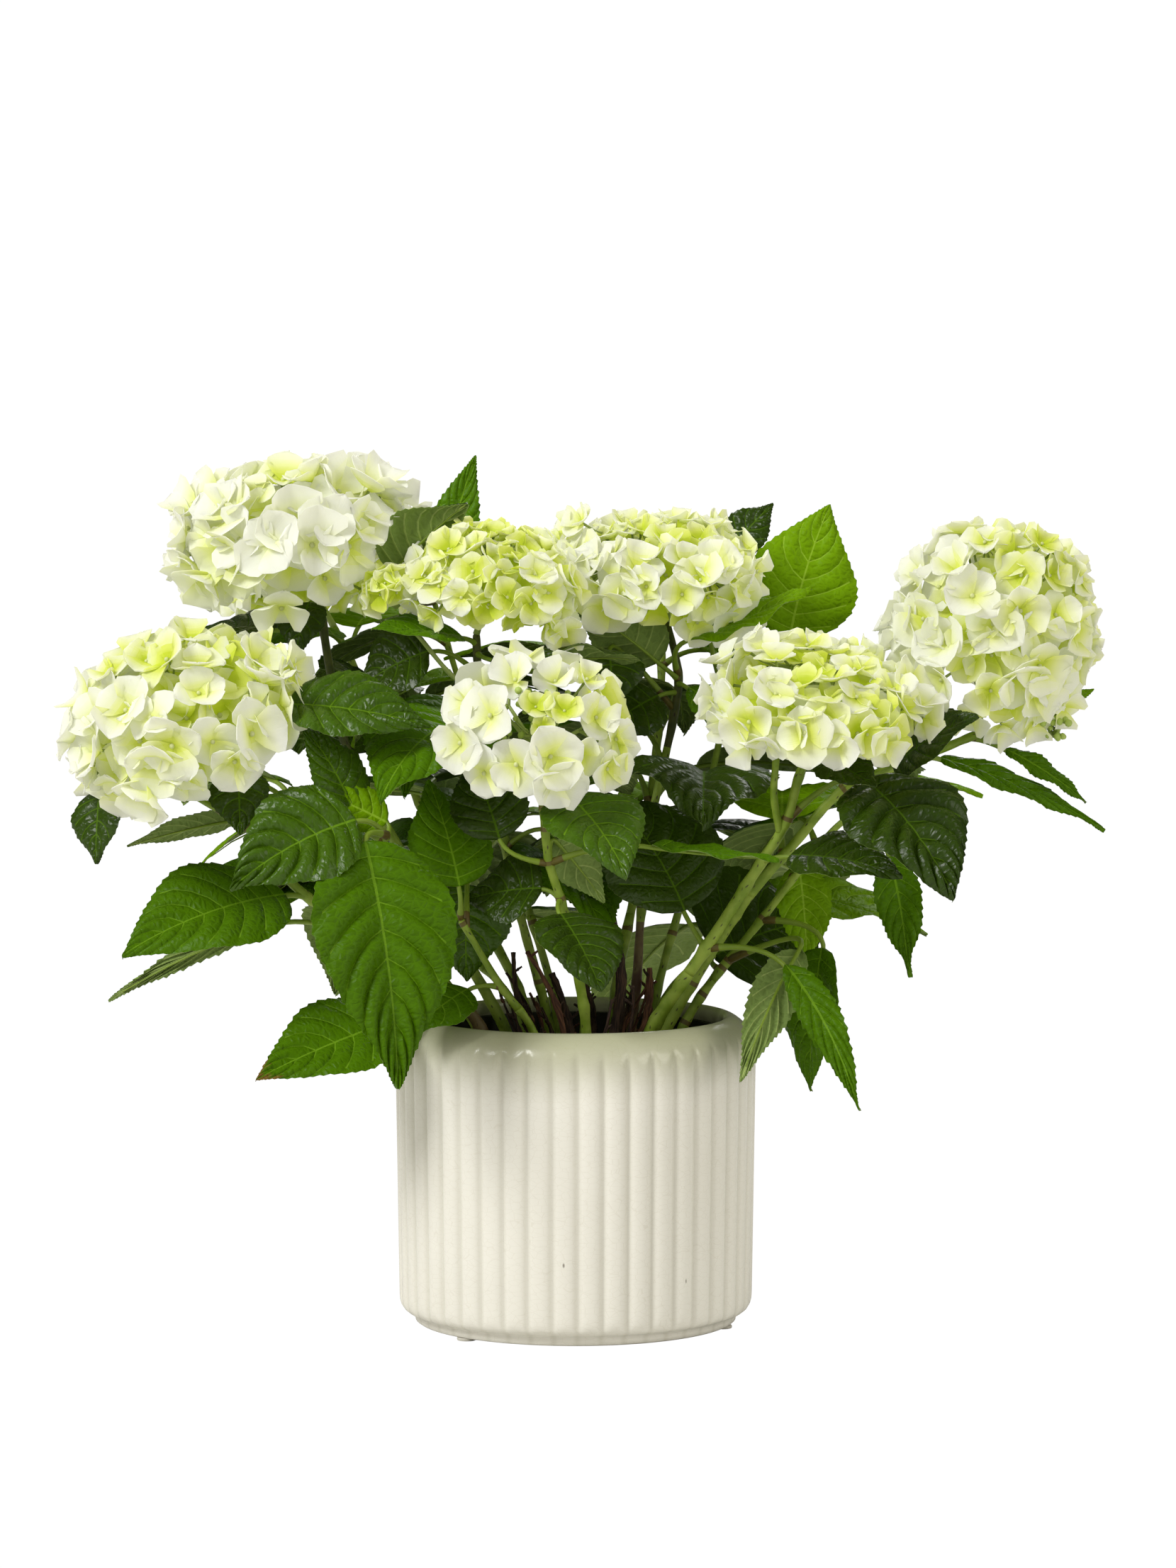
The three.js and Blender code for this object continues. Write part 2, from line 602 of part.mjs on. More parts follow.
// Heads: a core on a short stalk that starts a gap above its twig, and the florets round it.
Object.entries(HEADS).forEach(([name, head]) => {
  let line;
  if (head.stalk) {
    line = new THREE.CatmullRomCurve3([...head.stalk, head.at].map(vector));
  } else {
    const tip = shootCurve(SHOOTS[name]).getPointAt(1);
    const onward = shootCurve(SHOOTS[name]).getTangentAt(1);
    line = new THREE.LineCurve3(tip.addScaledVector(onward, GAP), vector(head.at));
  }
  const radius = head.stalk ? 2 : SHOOTS[name].tip;
  const pieces = [headCore(head), limb(line, { thick: radius, thin: radius * 0.8, steps: head.stalk ? 3 : 1 })];
  for (let index = 0; index < head.florets; index += 1) {
    const star = floret(head, index);
    if (isClear(star, [name])) {
      pieces.push(star);
    }
  }
  const sleeved = sleeve(SHOOTS[head.bearer ?? name]);
  blossoms[name] = pieces.reduce((whole, piece) => whole.add(piece)).subtract(sleeved);
  remember(`${name} head`, blossoms[name]);
});

// Leaves: all the posed ones first, then the ruled ones in the room that is left.
['posed', 'ruled'].forEach((kind) => {
  names.forEach((name, number) => {
    leavesOf(SHOOTS[name], number)[kind].forEach((leaf) => {
      masses[name].push(...fitLeaf(name, SHOOTS[name], leaf));
    });
  });
});

// ---- The scene graph ---------------------------------------------------------------------

const group = new THREE.Group();

function finish(color, roughness) {
  return new THREE.MeshStandardMaterial({ color, roughness, metalness: 0 });
}

const finishes = {
  glaze: finish('#e9e6d8', 0.22),
  peat: finish('#2a1c13', 0.95),
  greenStem: finish('#6f8a3c', 0.55),
  oldWood: finish('#5a3a28', 0.85),
  leaf: finish('#2f6b1f', 0.4),
  petal: finish('#eef2d6', 0.5),
};

function place(name, solid, material) {
  const mesh = new THREE.Mesh(toGeometry(solid), material);
  mesh.name = name;
  group.add(mesh);
}

place('planter', pot, finishes.glaze);
place('compost', soil, finishes.peat);
names.forEach((name) => {
  place(`stem_${name}`, stems[name], finishes.greenStem);
  place(`leaves_${name}`, masses[name].reduce((whole, piece) => whole.add(piece)), finishes.leaf);
});
Object.entries(blossoms).forEach(([name, solid]) => place(`head_${name}`, solid, finishes.petal));
stubs.forEach((stub, index) => place(`old_stub_${index + 1}`, stub, finishes.oldWood));

export default group;
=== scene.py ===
# %% [markdown]
# # A hydrangea in a ribbed planter
# A mop-head hydrangea grows in a cream ceramic pot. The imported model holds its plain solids: the
# pot, the compost, one limb for each stem and one coarse mass for the leaves or flowers of each
# stem. This script keeps every place and size and swaps those solids for fine ones. Tables are in
# millimetres, as a gardener would measure, and every mesh is in metres.

# %% Load the frame
import math

import bpy
import numpy as np
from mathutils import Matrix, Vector, noise


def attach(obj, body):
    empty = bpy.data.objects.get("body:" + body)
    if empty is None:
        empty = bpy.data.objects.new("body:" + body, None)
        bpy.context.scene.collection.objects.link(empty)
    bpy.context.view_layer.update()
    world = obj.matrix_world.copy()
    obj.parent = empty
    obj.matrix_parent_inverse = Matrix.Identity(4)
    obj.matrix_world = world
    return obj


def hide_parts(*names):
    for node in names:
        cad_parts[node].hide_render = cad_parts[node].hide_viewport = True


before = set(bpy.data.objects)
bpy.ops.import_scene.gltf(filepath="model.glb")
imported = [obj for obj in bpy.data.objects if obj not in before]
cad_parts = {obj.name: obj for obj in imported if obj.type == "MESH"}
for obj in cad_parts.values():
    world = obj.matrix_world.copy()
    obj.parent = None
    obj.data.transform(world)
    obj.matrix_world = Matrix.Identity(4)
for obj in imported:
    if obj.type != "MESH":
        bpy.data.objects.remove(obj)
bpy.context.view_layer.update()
bpy.ops.object.select_all(action="DESELECT")
MM = 0.001

# %% [markdown]
# ## Camera
# The plant is seen from the front, a little above its middle, from more than three metres away.
# A long lens flattens it, so the pot's rim shows as a thin ellipse.

# %% Camera
CAMERA_PLACE = (7.2, -3300, 578)
CAMERA_DIP = 4.57
LONG_LENS = 131.3
bpy.ops.object.camera_add(location=[value * MM for value in CAMERA_PLACE],
                          rotation=(math.radians(90 - CAMERA_DIP), 0, 0))
camera = bpy.context.object
camera.name = "front_camera"
camera.data.lens = LONG_LENS
camera.data.sensor_width = 36
camera.data.sensor_fit = "AUTO"
bpy.context.scene.camera = camera
print("camera lens", camera.data.lens)

# %% [markdown]
# ## A way to write shaders
# A finish is a small sum: a colour, plus some noise, times a mask. Node trees are easier to read
# as such sums, so a `Wire` wraps a socket and adds the Math nodes for `+`, `-` and `*`. All other
# nodes come from one method of `Finish`.

# %% Wires and finishes
class Wire:
    def __init__(self, finish, socket):
        self.finish, self.socket = finish, socket

    def __add__(self, other):
        return self.finish.maths("ADD", self, other)

    def __radd__(self, other):
        return self.finish.maths("ADD", other, self)

    def __sub__(self, other):
        return self.finish.maths("SUBTRACT", self, other)

    def __rsub__(self, other):
        return self.finish.maths("SUBTRACT", other, self)

    def __mul__(self, other):
        return self.finish.maths("MULTIPLY", self, other)

    def __rmul__(self, other):
        return self.finish.maths("MULTIPLY", other, self)


class Finish:
    def __init__(self, name, owner=None):
        self.owner = owner or bpy.data.materials.new(name)
        self.owner.use_nodes = True
        self.tree = self.owner.node_tree
        self.shader = self.tree.nodes.get("Principled BSDF")

    def feed(self, socket, value):
        if isinstance(value, Wire):
            self.tree.links.new(value.socket, socket)
        else:
            socket.default_value = value

    def node(self, kind, settings=None, values=None, output=0):
        made = self.tree.nodes.new(kind)
        for name, value in (settings or {}).items():
            setattr(made, name, value)
        for name, value in (values or {}).items():
            self.feed(made.inputs[name], value)
        return Wire(self, made.outputs[output])

    def maths(self, operation, *values):
        return self.node("ShaderNodeMath", {"operation": operation}, dict(enumerate(values)))

    def mix(self, share, one, other):
        return self.node("ShaderNodeMix", {"data_type": "RGBA"}, {0: share, 6: one, 7: other}, output=2)

    def mix_shaders(self, share, one, other):
        return self.node("ShaderNodeMixShader", None, {0: share, 1: one, 2: other})

    def ray(self, kind):
        return self.node("ShaderNodeLightPath", output=kind)

    def attribute(self, name):
        return self.node("ShaderNodeAttribute", {"attribute_name": name}, output="Fac")

    def pattern(self):
        return self.node("ShaderNodeUVMap", {"uv_map": "pattern"})

    def step(self, value, low, high):
        return self.node("ShaderNodeMapRange", {"interpolation_type": "SMOOTHSTEP"},
                         {"Value": value, "From Min": low, "From Max": high})

    def place(self):
        return self.node("ShaderNodeTexCoord", output="Object")

    def speckle(self, place, scale, detail=3.0):
        return self.node("ShaderNodeTexNoise", None, {"Vector": place, "Scale": scale, "Detail": detail})

    def stretched(self, place, scales):
        return self.node("ShaderNodeMapping", None, {"Vector": place, "Scale": scales})

    def cells(self, place, scale, feature="F1"):
        return self.node("ShaderNodeTexVoronoi", {"feature": feature}, {"Vector": place, "Scale": scale})

    def bump(self, height, distance, strength=1.0):
        values = {"Height": height, "Distance": distance, "Strength": strength}
        return self.node("ShaderNodeBump", None, values)

    def wear(self, **sockets):
        for name, value in sockets.items():
            self.feed(self.shader.inputs[name.replace("_", " ")], value)
        return self.owner


def shade(colour, factor):
    """A colour made lighter or darker, with its alpha."""
    return tuple(min(1, channel * factor) for channel in colour[:3]) + (1,)


print("shader helpers ready")

# %% [markdown]
# ## Studio
# A white room: a pale floor, a large soft lamp on the left, as a window is, a weaker one on the
# right, and a white world. The camera sees the world and the floor brighter than they light the
# plant, and glossy leaves mirror a dimmer one, so that the background stays white while the
# leaves keep their depth and their full green.

# %% Floor and lamps
WHITE, WINDOW_LIGHT, WARM_SHADE = (1, 1, 1, 1), (1, 0.995, 0.975, 1), (1, 0.965, 0.88, 1)
# How bright the white room is where the camera sees it, as it lights the plant, and mirrored in a leaf
SEEN_WHITE, SHED_WHITE, MIRRORED_WHITE = 1.02, 0.54, 0.06
PLANT_MIDDLE = (0, 0, 0.3)


def soft_lamp(name, place, size, power, tint, target=PLANT_MIDDLE):
    bpy.ops.object.light_add(type="AREA", location=place)
    lamp = bpy.context.object
    lamp.name = name
    lamp.data.shape = "DISK"
    lamp.data.size = size
    lamp.data.energy = power
    lamp.data.color = tint[:3]
    lamp.rotation_euler = (Vector(target) - Vector(place)).to_track_quat("-Z", "Y").to_euler()


soft_lamp("window_lamp", (-2.1, -1.75, 2.45), 1.4, 86, WINDOW_LIGHT)
soft_lamp("right_lamp", (2.3, -1.6, 1.3), 1.6, 15, WARM_SHADE)
soft_lamp("rear_lamp", (0.7, 2.2, 1.9), 1.3, 22, WINDOW_LIGHT, (0, 0, 0.35))

bpy.ops.mesh.primitive_plane_add(size=30, location=(0, 0, 0))
floor = bpy.context.object
floor.name = "floor"
paint = Finish("white_floor")
paint.wear(Base_Color=(0.68, 0.67, 0.63, 1), Roughness=0.9)
bright = paint.node("ShaderNodeEmission", None, {"Color": WHITE, "Strength": SEEN_WHITE})
surface = paint.mix_shaders(paint.ray("Is Camera Ray"), Wire(paint, paint.shader.outputs[0]), bright)
paint.feed(paint.tree.nodes["Material Output"].inputs["Surface"], surface)
floor.data.materials.append(paint.owner)

room = Finish("white_room", bpy.data.worlds.new("white_room"))
bpy.context.scene.world = room.owner
shed, mirrored, seen = (
    room.node("ShaderNodeBackground", None, {"Color": colour, "Strength": strength})
    for colour, strength in ((WARM_SHADE, SHED_WHITE), (WARM_SHADE, MIRRORED_WHITE), (WHITE, SEEN_WHITE)))
unseen = room.mix_shaders(room.ray("Is Glossy Ray"), shed, mirrored)
sky = room.mix_shaders(room.ray("Is Camera Ray"), unseen, seen)
room.feed(room.tree.nodes["World Output"].inputs["Surface"], sky)
bpy.context.scene.view_settings.view_transform = "Standard"
bpy.context.scene.view_settings.look = "None"

# %% [markdown]
# ## Glaze
# The pot is dipped in a warm white glaze. It is glossy and has the hair-fine net of cracks that
# such a glaze gets as it cools. A Voronoi texture's distance to its cell walls draws that net.
# Painted shade darkens the grooves between the ribs, and a greener painted shade with a painted
# reflection of the leaves lies on the shoulder under them.

# %% Glaze, peat and felt
RIBS = 44
FIRST_GROOVE = -89.3
SPECKS = [(63.2, -81.8, 37.2), (14.6, -102.4, 53.9), (-6.6, -103.2, 49.6)]
SPECK_SQUEEZE = 0.45


def glaze_finish():
    finish = Finish("cream_glaze")
    place = finish.place()
    cloud = finish.speckle(place, 14, 2)
    cracks = finish.cells(finish.stretched(place, (1, 1, 1.9)), 170, "DISTANCE_TO_EDGE")
    thin = 1 - finish.step(cracks, 0.0, 0.04)
    x, y, z = (finish.node("ShaderNodeSeparateXYZ", None, {0: place}, output=axis) for axis in range(3))
    turns = (finish.maths("ARCTAN2", y, x) + math.radians(360 - FIRST_GROOVE)) * (RIBS / math.tau)
    off_crest = 2 * finish.maths("ABSOLUTE", finish.maths("FRACT", turns) - 0.5)
    # Painted shade: the glaze darkens in the grooves between the ribs, where they lie in shadow, fading out
    # towards the shoulder
    painted_groove_shade = finish.step(off_crest, 0.55, 1.0) * (1 - finish.step(z, 0.150, 0.168))
    # Painted shade and a painted green reflection of the leaves: the glaze turns darker and greener towards
    # the rim, with a cloudy lower edge
    painted_leaf_shade = finish.step(z + cloud * 0.016, 0.148, 0.186)
    warm = finish.mix(cloud, (0.81, 0.79, 0.72, 1), (0.87, 0.855, 0.795, 1))
    colour = finish.mix(thin * 0.14, warm, (0.45, 0.39, 0.26, 1))
    # The painted groove shade, then the painted leaf shade and reflection on the shoulder
    colour = finish.mix(painted_groove_shade * 0.28, colour, (0.52, 0.50, 0.40, 1))
    colour = finish.mix(painted_leaf_shade * 0.75, colour, (0.36, 0.37, 0.19, 1))
    for across, ahead, height in SPECKS:
        speck = [across * MM, ahead * MM, height * SPECK_SQUEEZE * MM]
        ends = {0: finish.stretched(place, (1, 1, SPECK_SQUEEZE)), 1: speck}
        far = finish.node("ShaderNodeVectorMath", {"operation": "DISTANCE"}, ends, output=1)
        colour = finish.mix((1 - finish.step(far, 0.0003, 0.0009)) * 0.75, colour, (0.10, 0.07, 0.035, 1))
    ripple = finish.speckle(place, 55, 2)
    return finish.wear(Base_Color=colour, Roughness=0.14 + ripple * 0.12,
                       Normal=finish.bump(ripple + thin * -0.05, 0.0006, 0.5), IOR=1.5)


def grainy_finish(name, colour, other, scale, detail, rough, spread=0.0, depth=0.0, strength=1.0):
    """Two colours in fine grains, which may also spread the roughness and stand out to a depth."""
    finish = Finish(name)
    grain = finish.speckle(finish.place(), scale, detail)
    relief = {"Normal": finish.bump(grain, depth, strength)} if depth else {}
    return finish.wear(Base_Color=finish.mix(grain, colour, other),
                       Roughness=rough + grain * spread if spread else rough, **relief)


glaze = glaze_finish()
peat = grainy_finish("moist_peat", (0.007, 0.004, 0.003, 1), (0.032, 0.018, 0.011, 1), 260, 6,
                     0.75, spread=0.2, depth=0.002, strength=0.8)
felt = grainy_finish("pale_felt", (0.50, 0.48, 0.42, 1), (0.66, 0.64, 0.58, 1), 900, 4, 0.95, depth=0.0004)
black_plastic = grainy_finish("black_plastic", (0.006, 0.006, 0.006, 1), (0.016, 0.014, 0.012, 1), 320, 4,
                              0.45, spread=0.2)
print("pot finishes:", glaze.name, peat.name, felt.name, black_plastic.name)

# %% [markdown]
# ## Planter
# A ribbed pot is cast: a round wall with 44 rounded reeds that run out on the shoulder and above
# the foot. Here a circle is extruded ring by ring up the outside, over the lip and down the
# inside. The reeds are pressed in afterwards: where the wall is straight each point keeps the
# reed's rounded section, and where the wall turns in, it leaves the grooves behind in a point.

# %% Planter
OUTSIDE = [(80, 6.5), (83, 5.6), (84.4, 2.6), (85.6, 1.7), (91.8, 1.7), (93.3, 2.7), (93.6, 4.6), (93.8, 6.4),
           (94.6, 7.3), (96.4, 7.8), (98.6, 8.6), (100.4, 10.0), (101.7, 12.0), (102.6, 14.6), (103.0, 17.6),
           (103.1, 21.0), (103.4, 40), (104.0, 80), (104.6, 120), (104.95, 146), (105.0, 152), (104.95, 156),
           (104.8, 159.5), (104.4, 162.6), (103.8, 165.4), (102.9, 168.0), (101.7, 170.4), (100.2, 172.6),
           (98.4, 174.6), (96.4, 176.4), (94.4, 177.9), (92.6, 179.0), (91.0, 179.7), (89.4, 179.9)]
INSIDE = [(88.0, 179.5), (86.9, 178.6), (86.2, 177.2), (86.0, 175.4), (86.2, 173.0), (87.4, 170.0),
          (90.0, 166.6), (93.6, 162.6), (96.4, 158.0), (97.6, 153.0), (98.0, 145), (98.0, 30), (96.5, 20),
          (92, 14.5), (84, 12.6)]
RIB_DEPTH = 3.1
STEPS_A_RIB = 10
# The reeds are pressed in between these heights, outside this radius and with corners this soft
PRESSED_LOW, PRESSED_HIGH, PRESSED_OUTSIDE, SOFTNESS = 8.0, 177.0, 94.5, 0.7


def wall_line(height):
    """The radius over the crests of the ribs, carried on straight past the shoulder."""
    return np.interp(height, [0, 20, 150, 200], [102.9, 103.1, 105.0, 105.4])


def rib_dip(heading):
    """How deep the wall lies at a heading: 0 on a crest, the whole depth in a groove."""
    phase = (np.degrees(heading) - FIRST_GROOVE) * RIBS / 360
    off_crest = np.abs(phase - np.floor(phase) - 0.5) * 2
    return RIB_DEPTH * off_crest ** 2.1


def first_ring(name, rings, vertices, fill="NOTHING"):
    """A circle at the first of some rings, each a radius and a height, opened for editing."""
    radius, height = rings[0]
    bpy.ops.mesh.primitive_circle_add(vertices=vertices, radius=radius * MM, location=(0, 0, height * MM),
                                      fill_type=fill)
    bpy.context.object.name = name
    bpy.ops.object.mode_set(mode="EDIT")
    bpy.ops.mesh.select_all(action="SELECT")
    return bpy.context.object


def extrude_through(rings):
    for (radius, height), (wider, higher) in zip(rings, rings[1:]):
        bpy.ops.mesh.extrude_edges_move(TRANSFORM_OT_translate={"value": (0, 0, (higher - height) * MM)})
        bpy.ops.transform.resize(value=(wider / radius, wider / radius, 1), center_override=(0, 0, 0))


def close_shell():
    """Turns every face outward, leaves editing and clears the object's own place and size."""
    bpy.ops.mesh.normals_make_consistent(inside=False)
    bpy.ops.object.mode_set(mode="OBJECT")
    bpy.ops.object.transform_apply(location=True, rotation=True, scale=True)


planter = first_ring("ribbed_planter", OUTSIDE, RIBS * STEPS_A_RIB, "TRIFAN")
bpy.ops.mesh.region_to_loop()
extrude_through(OUTSIDE + INSIDE)
bpy.ops.mesh.extrude_edges_move(TRANSFORM_OT_translate={"value": (0, 0, 0)})
bpy.ops.mesh.merge(type="CENTER")
bpy.ops.mesh.select_all(action="SELECT")
close_shell()

points = np.empty(len(planter.data.vertices) * 3)
planter.data.vertices.foreach_get("co", points)
points = points.reshape(-1, 3) / MM
radii, headings = np.hypot(points[:, 0], points[:, 1]), np.arctan2(points[:, 1], points[:, 0])
reed = wall_line(points[:, 2]) - rib_dip(headings)
blended = -SOFTNESS * np.logaddexp(-radii / SOFTNESS, -reed / SOFTNESS)
pressed = (points[:, 2] > PRESSED_LOW) & (points[:, 2] < PRESSED_HIGH) & (radii > PRESSED_OUTSIDE)
narrower = np.where(pressed, np.minimum(blended + SOFTNESS * 0.15, radii) / np.maximum(radii, 1), 1)
points[:, :2] *= narrower[:, None]
planter.data.vertices.foreach_set("co", (points * MM).ravel())
planter.data.update()
planter.data.materials.append(glaze)
bpy.ops.object.shade_smooth()
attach(planter, "root")
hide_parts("planter")
print("planter faces:", len(planter.data.polygons))

# %% [markdown]
# ## Felt pads
# Three small pads keep the glazed foot off the table. Each is a short disc with a rounded edge.

# %% Felt pads
PAD_HEADINGS = [225, 345, 105]
PAD_CIRCLE, PAD_RADIUS, PAD_HEIGHT, PAD_EDGE = 88, 5.6, 1.8, 0.5
made = []
for heading in np.radians(PAD_HEADINGS):
    middle = Vector((PAD_CIRCLE * math.cos(heading), PAD_CIRCLE * math.sin(heading), PAD_HEIGHT / 2)) * MM
    bpy.ops.mesh.primitive_cylinder_add(vertices=32, radius=PAD_RADIUS * MM, depth=PAD_HEIGHT * MM,
                                        location=middle)
    pad = bpy.context.object
    rounding = pad.modifiers.new("rounding", "BEVEL")
    rounding.width, rounding.segments = PAD_EDGE * MM, 2
    bpy.ops.object.modifier_apply(modifier=rounding.name)
    bpy.ops.object.shade_smooth_by_angle(angle=math.radians(40))
    made.append(pad)
for pad in made:
    pad.select_set(True)
bpy.context.view_layer.objects.active = made[0]
bpy.ops.object.join()
pads = bpy.context.object
pads.name = "felt_pads"
bpy.ops.object.transform_apply(location=True, rotation=True, scale=True)
pads.data.materials.append(felt)
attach(pads, "root")
print("pads:", len(PAD_HEADINGS))

# %% [markdown]
# ## Compost
# Peat settles in soft lumps and rises a little round the stems. A cylinder's top is inset into
# many rings, and every point of it is then lifted by noise.

# %% Compost
COMPOST_TOP, COMPOST_DEPTH, COMPOST_RADIUS = 152, 138, 97.4
COMPOST_RINGS, RING_WIDTH = 30, 3.1
bpy.ops.mesh.primitive_cylinder_add(vertices=96, radius=COMPOST_RADIUS * MM, depth=COMPOST_DEPTH * MM,
                                    location=(0, 0, (COMPOST_TOP - COMPOST_DEPTH / 2) * MM))
compost = bpy.context.object
compost.name = "peat_surface"
bpy.ops.object.mode_set(mode="EDIT")
bpy.ops.mesh.select_all(action="DESELECT")
bpy.ops.object.mode_set(mode="OBJECT")
for face in compost.data.polygons:
    face.select = face.normal.z > 0.9
bpy.ops.object.mode_set(mode="EDIT")
bpy.ops.mesh.select_mode(type="FACE")
for ring in range(COMPOST_RINGS):
    bpy.ops.mesh.inset(thickness=RING_WIDTH * MM)
bpy.ops.object.mode_set(mode="OBJECT")
bpy.ops.object.transform_apply(location=True, rotation=True, scale=True)
for vertex in compost.data.vertices:
    if vertex.co.z > (COMPOST_TOP - 1) * MM:
        place = vertex.co / MM
        lumps = 2.2 * noise.noise(place / 14) + 1.6 * noise.noise(place / 5 + Vector((9, 3, 5)))
        mound = 4 * math.exp(-(place.x ** 2 + place.y ** 2) / 45 ** 2)
        vertex.co.z += (lumps + mound - 1.5) * MM
compost.data.materials.append(peat)
bpy.ops.object.shade_smooth()
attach(compost, "root")
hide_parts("compost")
print("compost faces:", len(compost.data.polygons))

# %% [markdown]
# ## Inner pot
# The plant still stands in the thin black pot it was raised in. Only its rim shows, a dark ring
# inside the pale lip: a circle extruded up, over the rim and down again.

# %% Inner pot
INNER_RIM = [(80.5, 150), (82.5, 171.2), (84.6, 171.6), (85.4, 170.6), (84.6, 168.4), (83.2, 168),
             (82.0, 150)]
inner_pot = first_ring("inner_pot_rim", INNER_RIM, 96)
extrude_through(INNER_RIM + INNER_RIM[:1])
bpy.ops.mesh.select_all(action="SELECT")
bpy.ops.mesh.remove_doubles(threshold=0.01 * MM)
close_shell()
inner_pot.data.materials.append(black_plastic)
bpy.ops.object.shade_smooth_by_angle(angle=math.radians(50))
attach(inner_pot, "root")
print("inner pot faces:", len(inner_pot.data.polygons))

# %% [markdown]
# ## How the shrub grows
# Every shoot follows a line of a few bends. Leaves stand on it at a place between its foot, 0,
# and its tip, 1; a place over 1 is on its side twig. Some leaves have a pose of their own, and
# the others grow in opposite pairs by a rule with a repeatable chance. These tables are the
# growth plan of the solids, so that each fine leaf lies where its coarse one does.

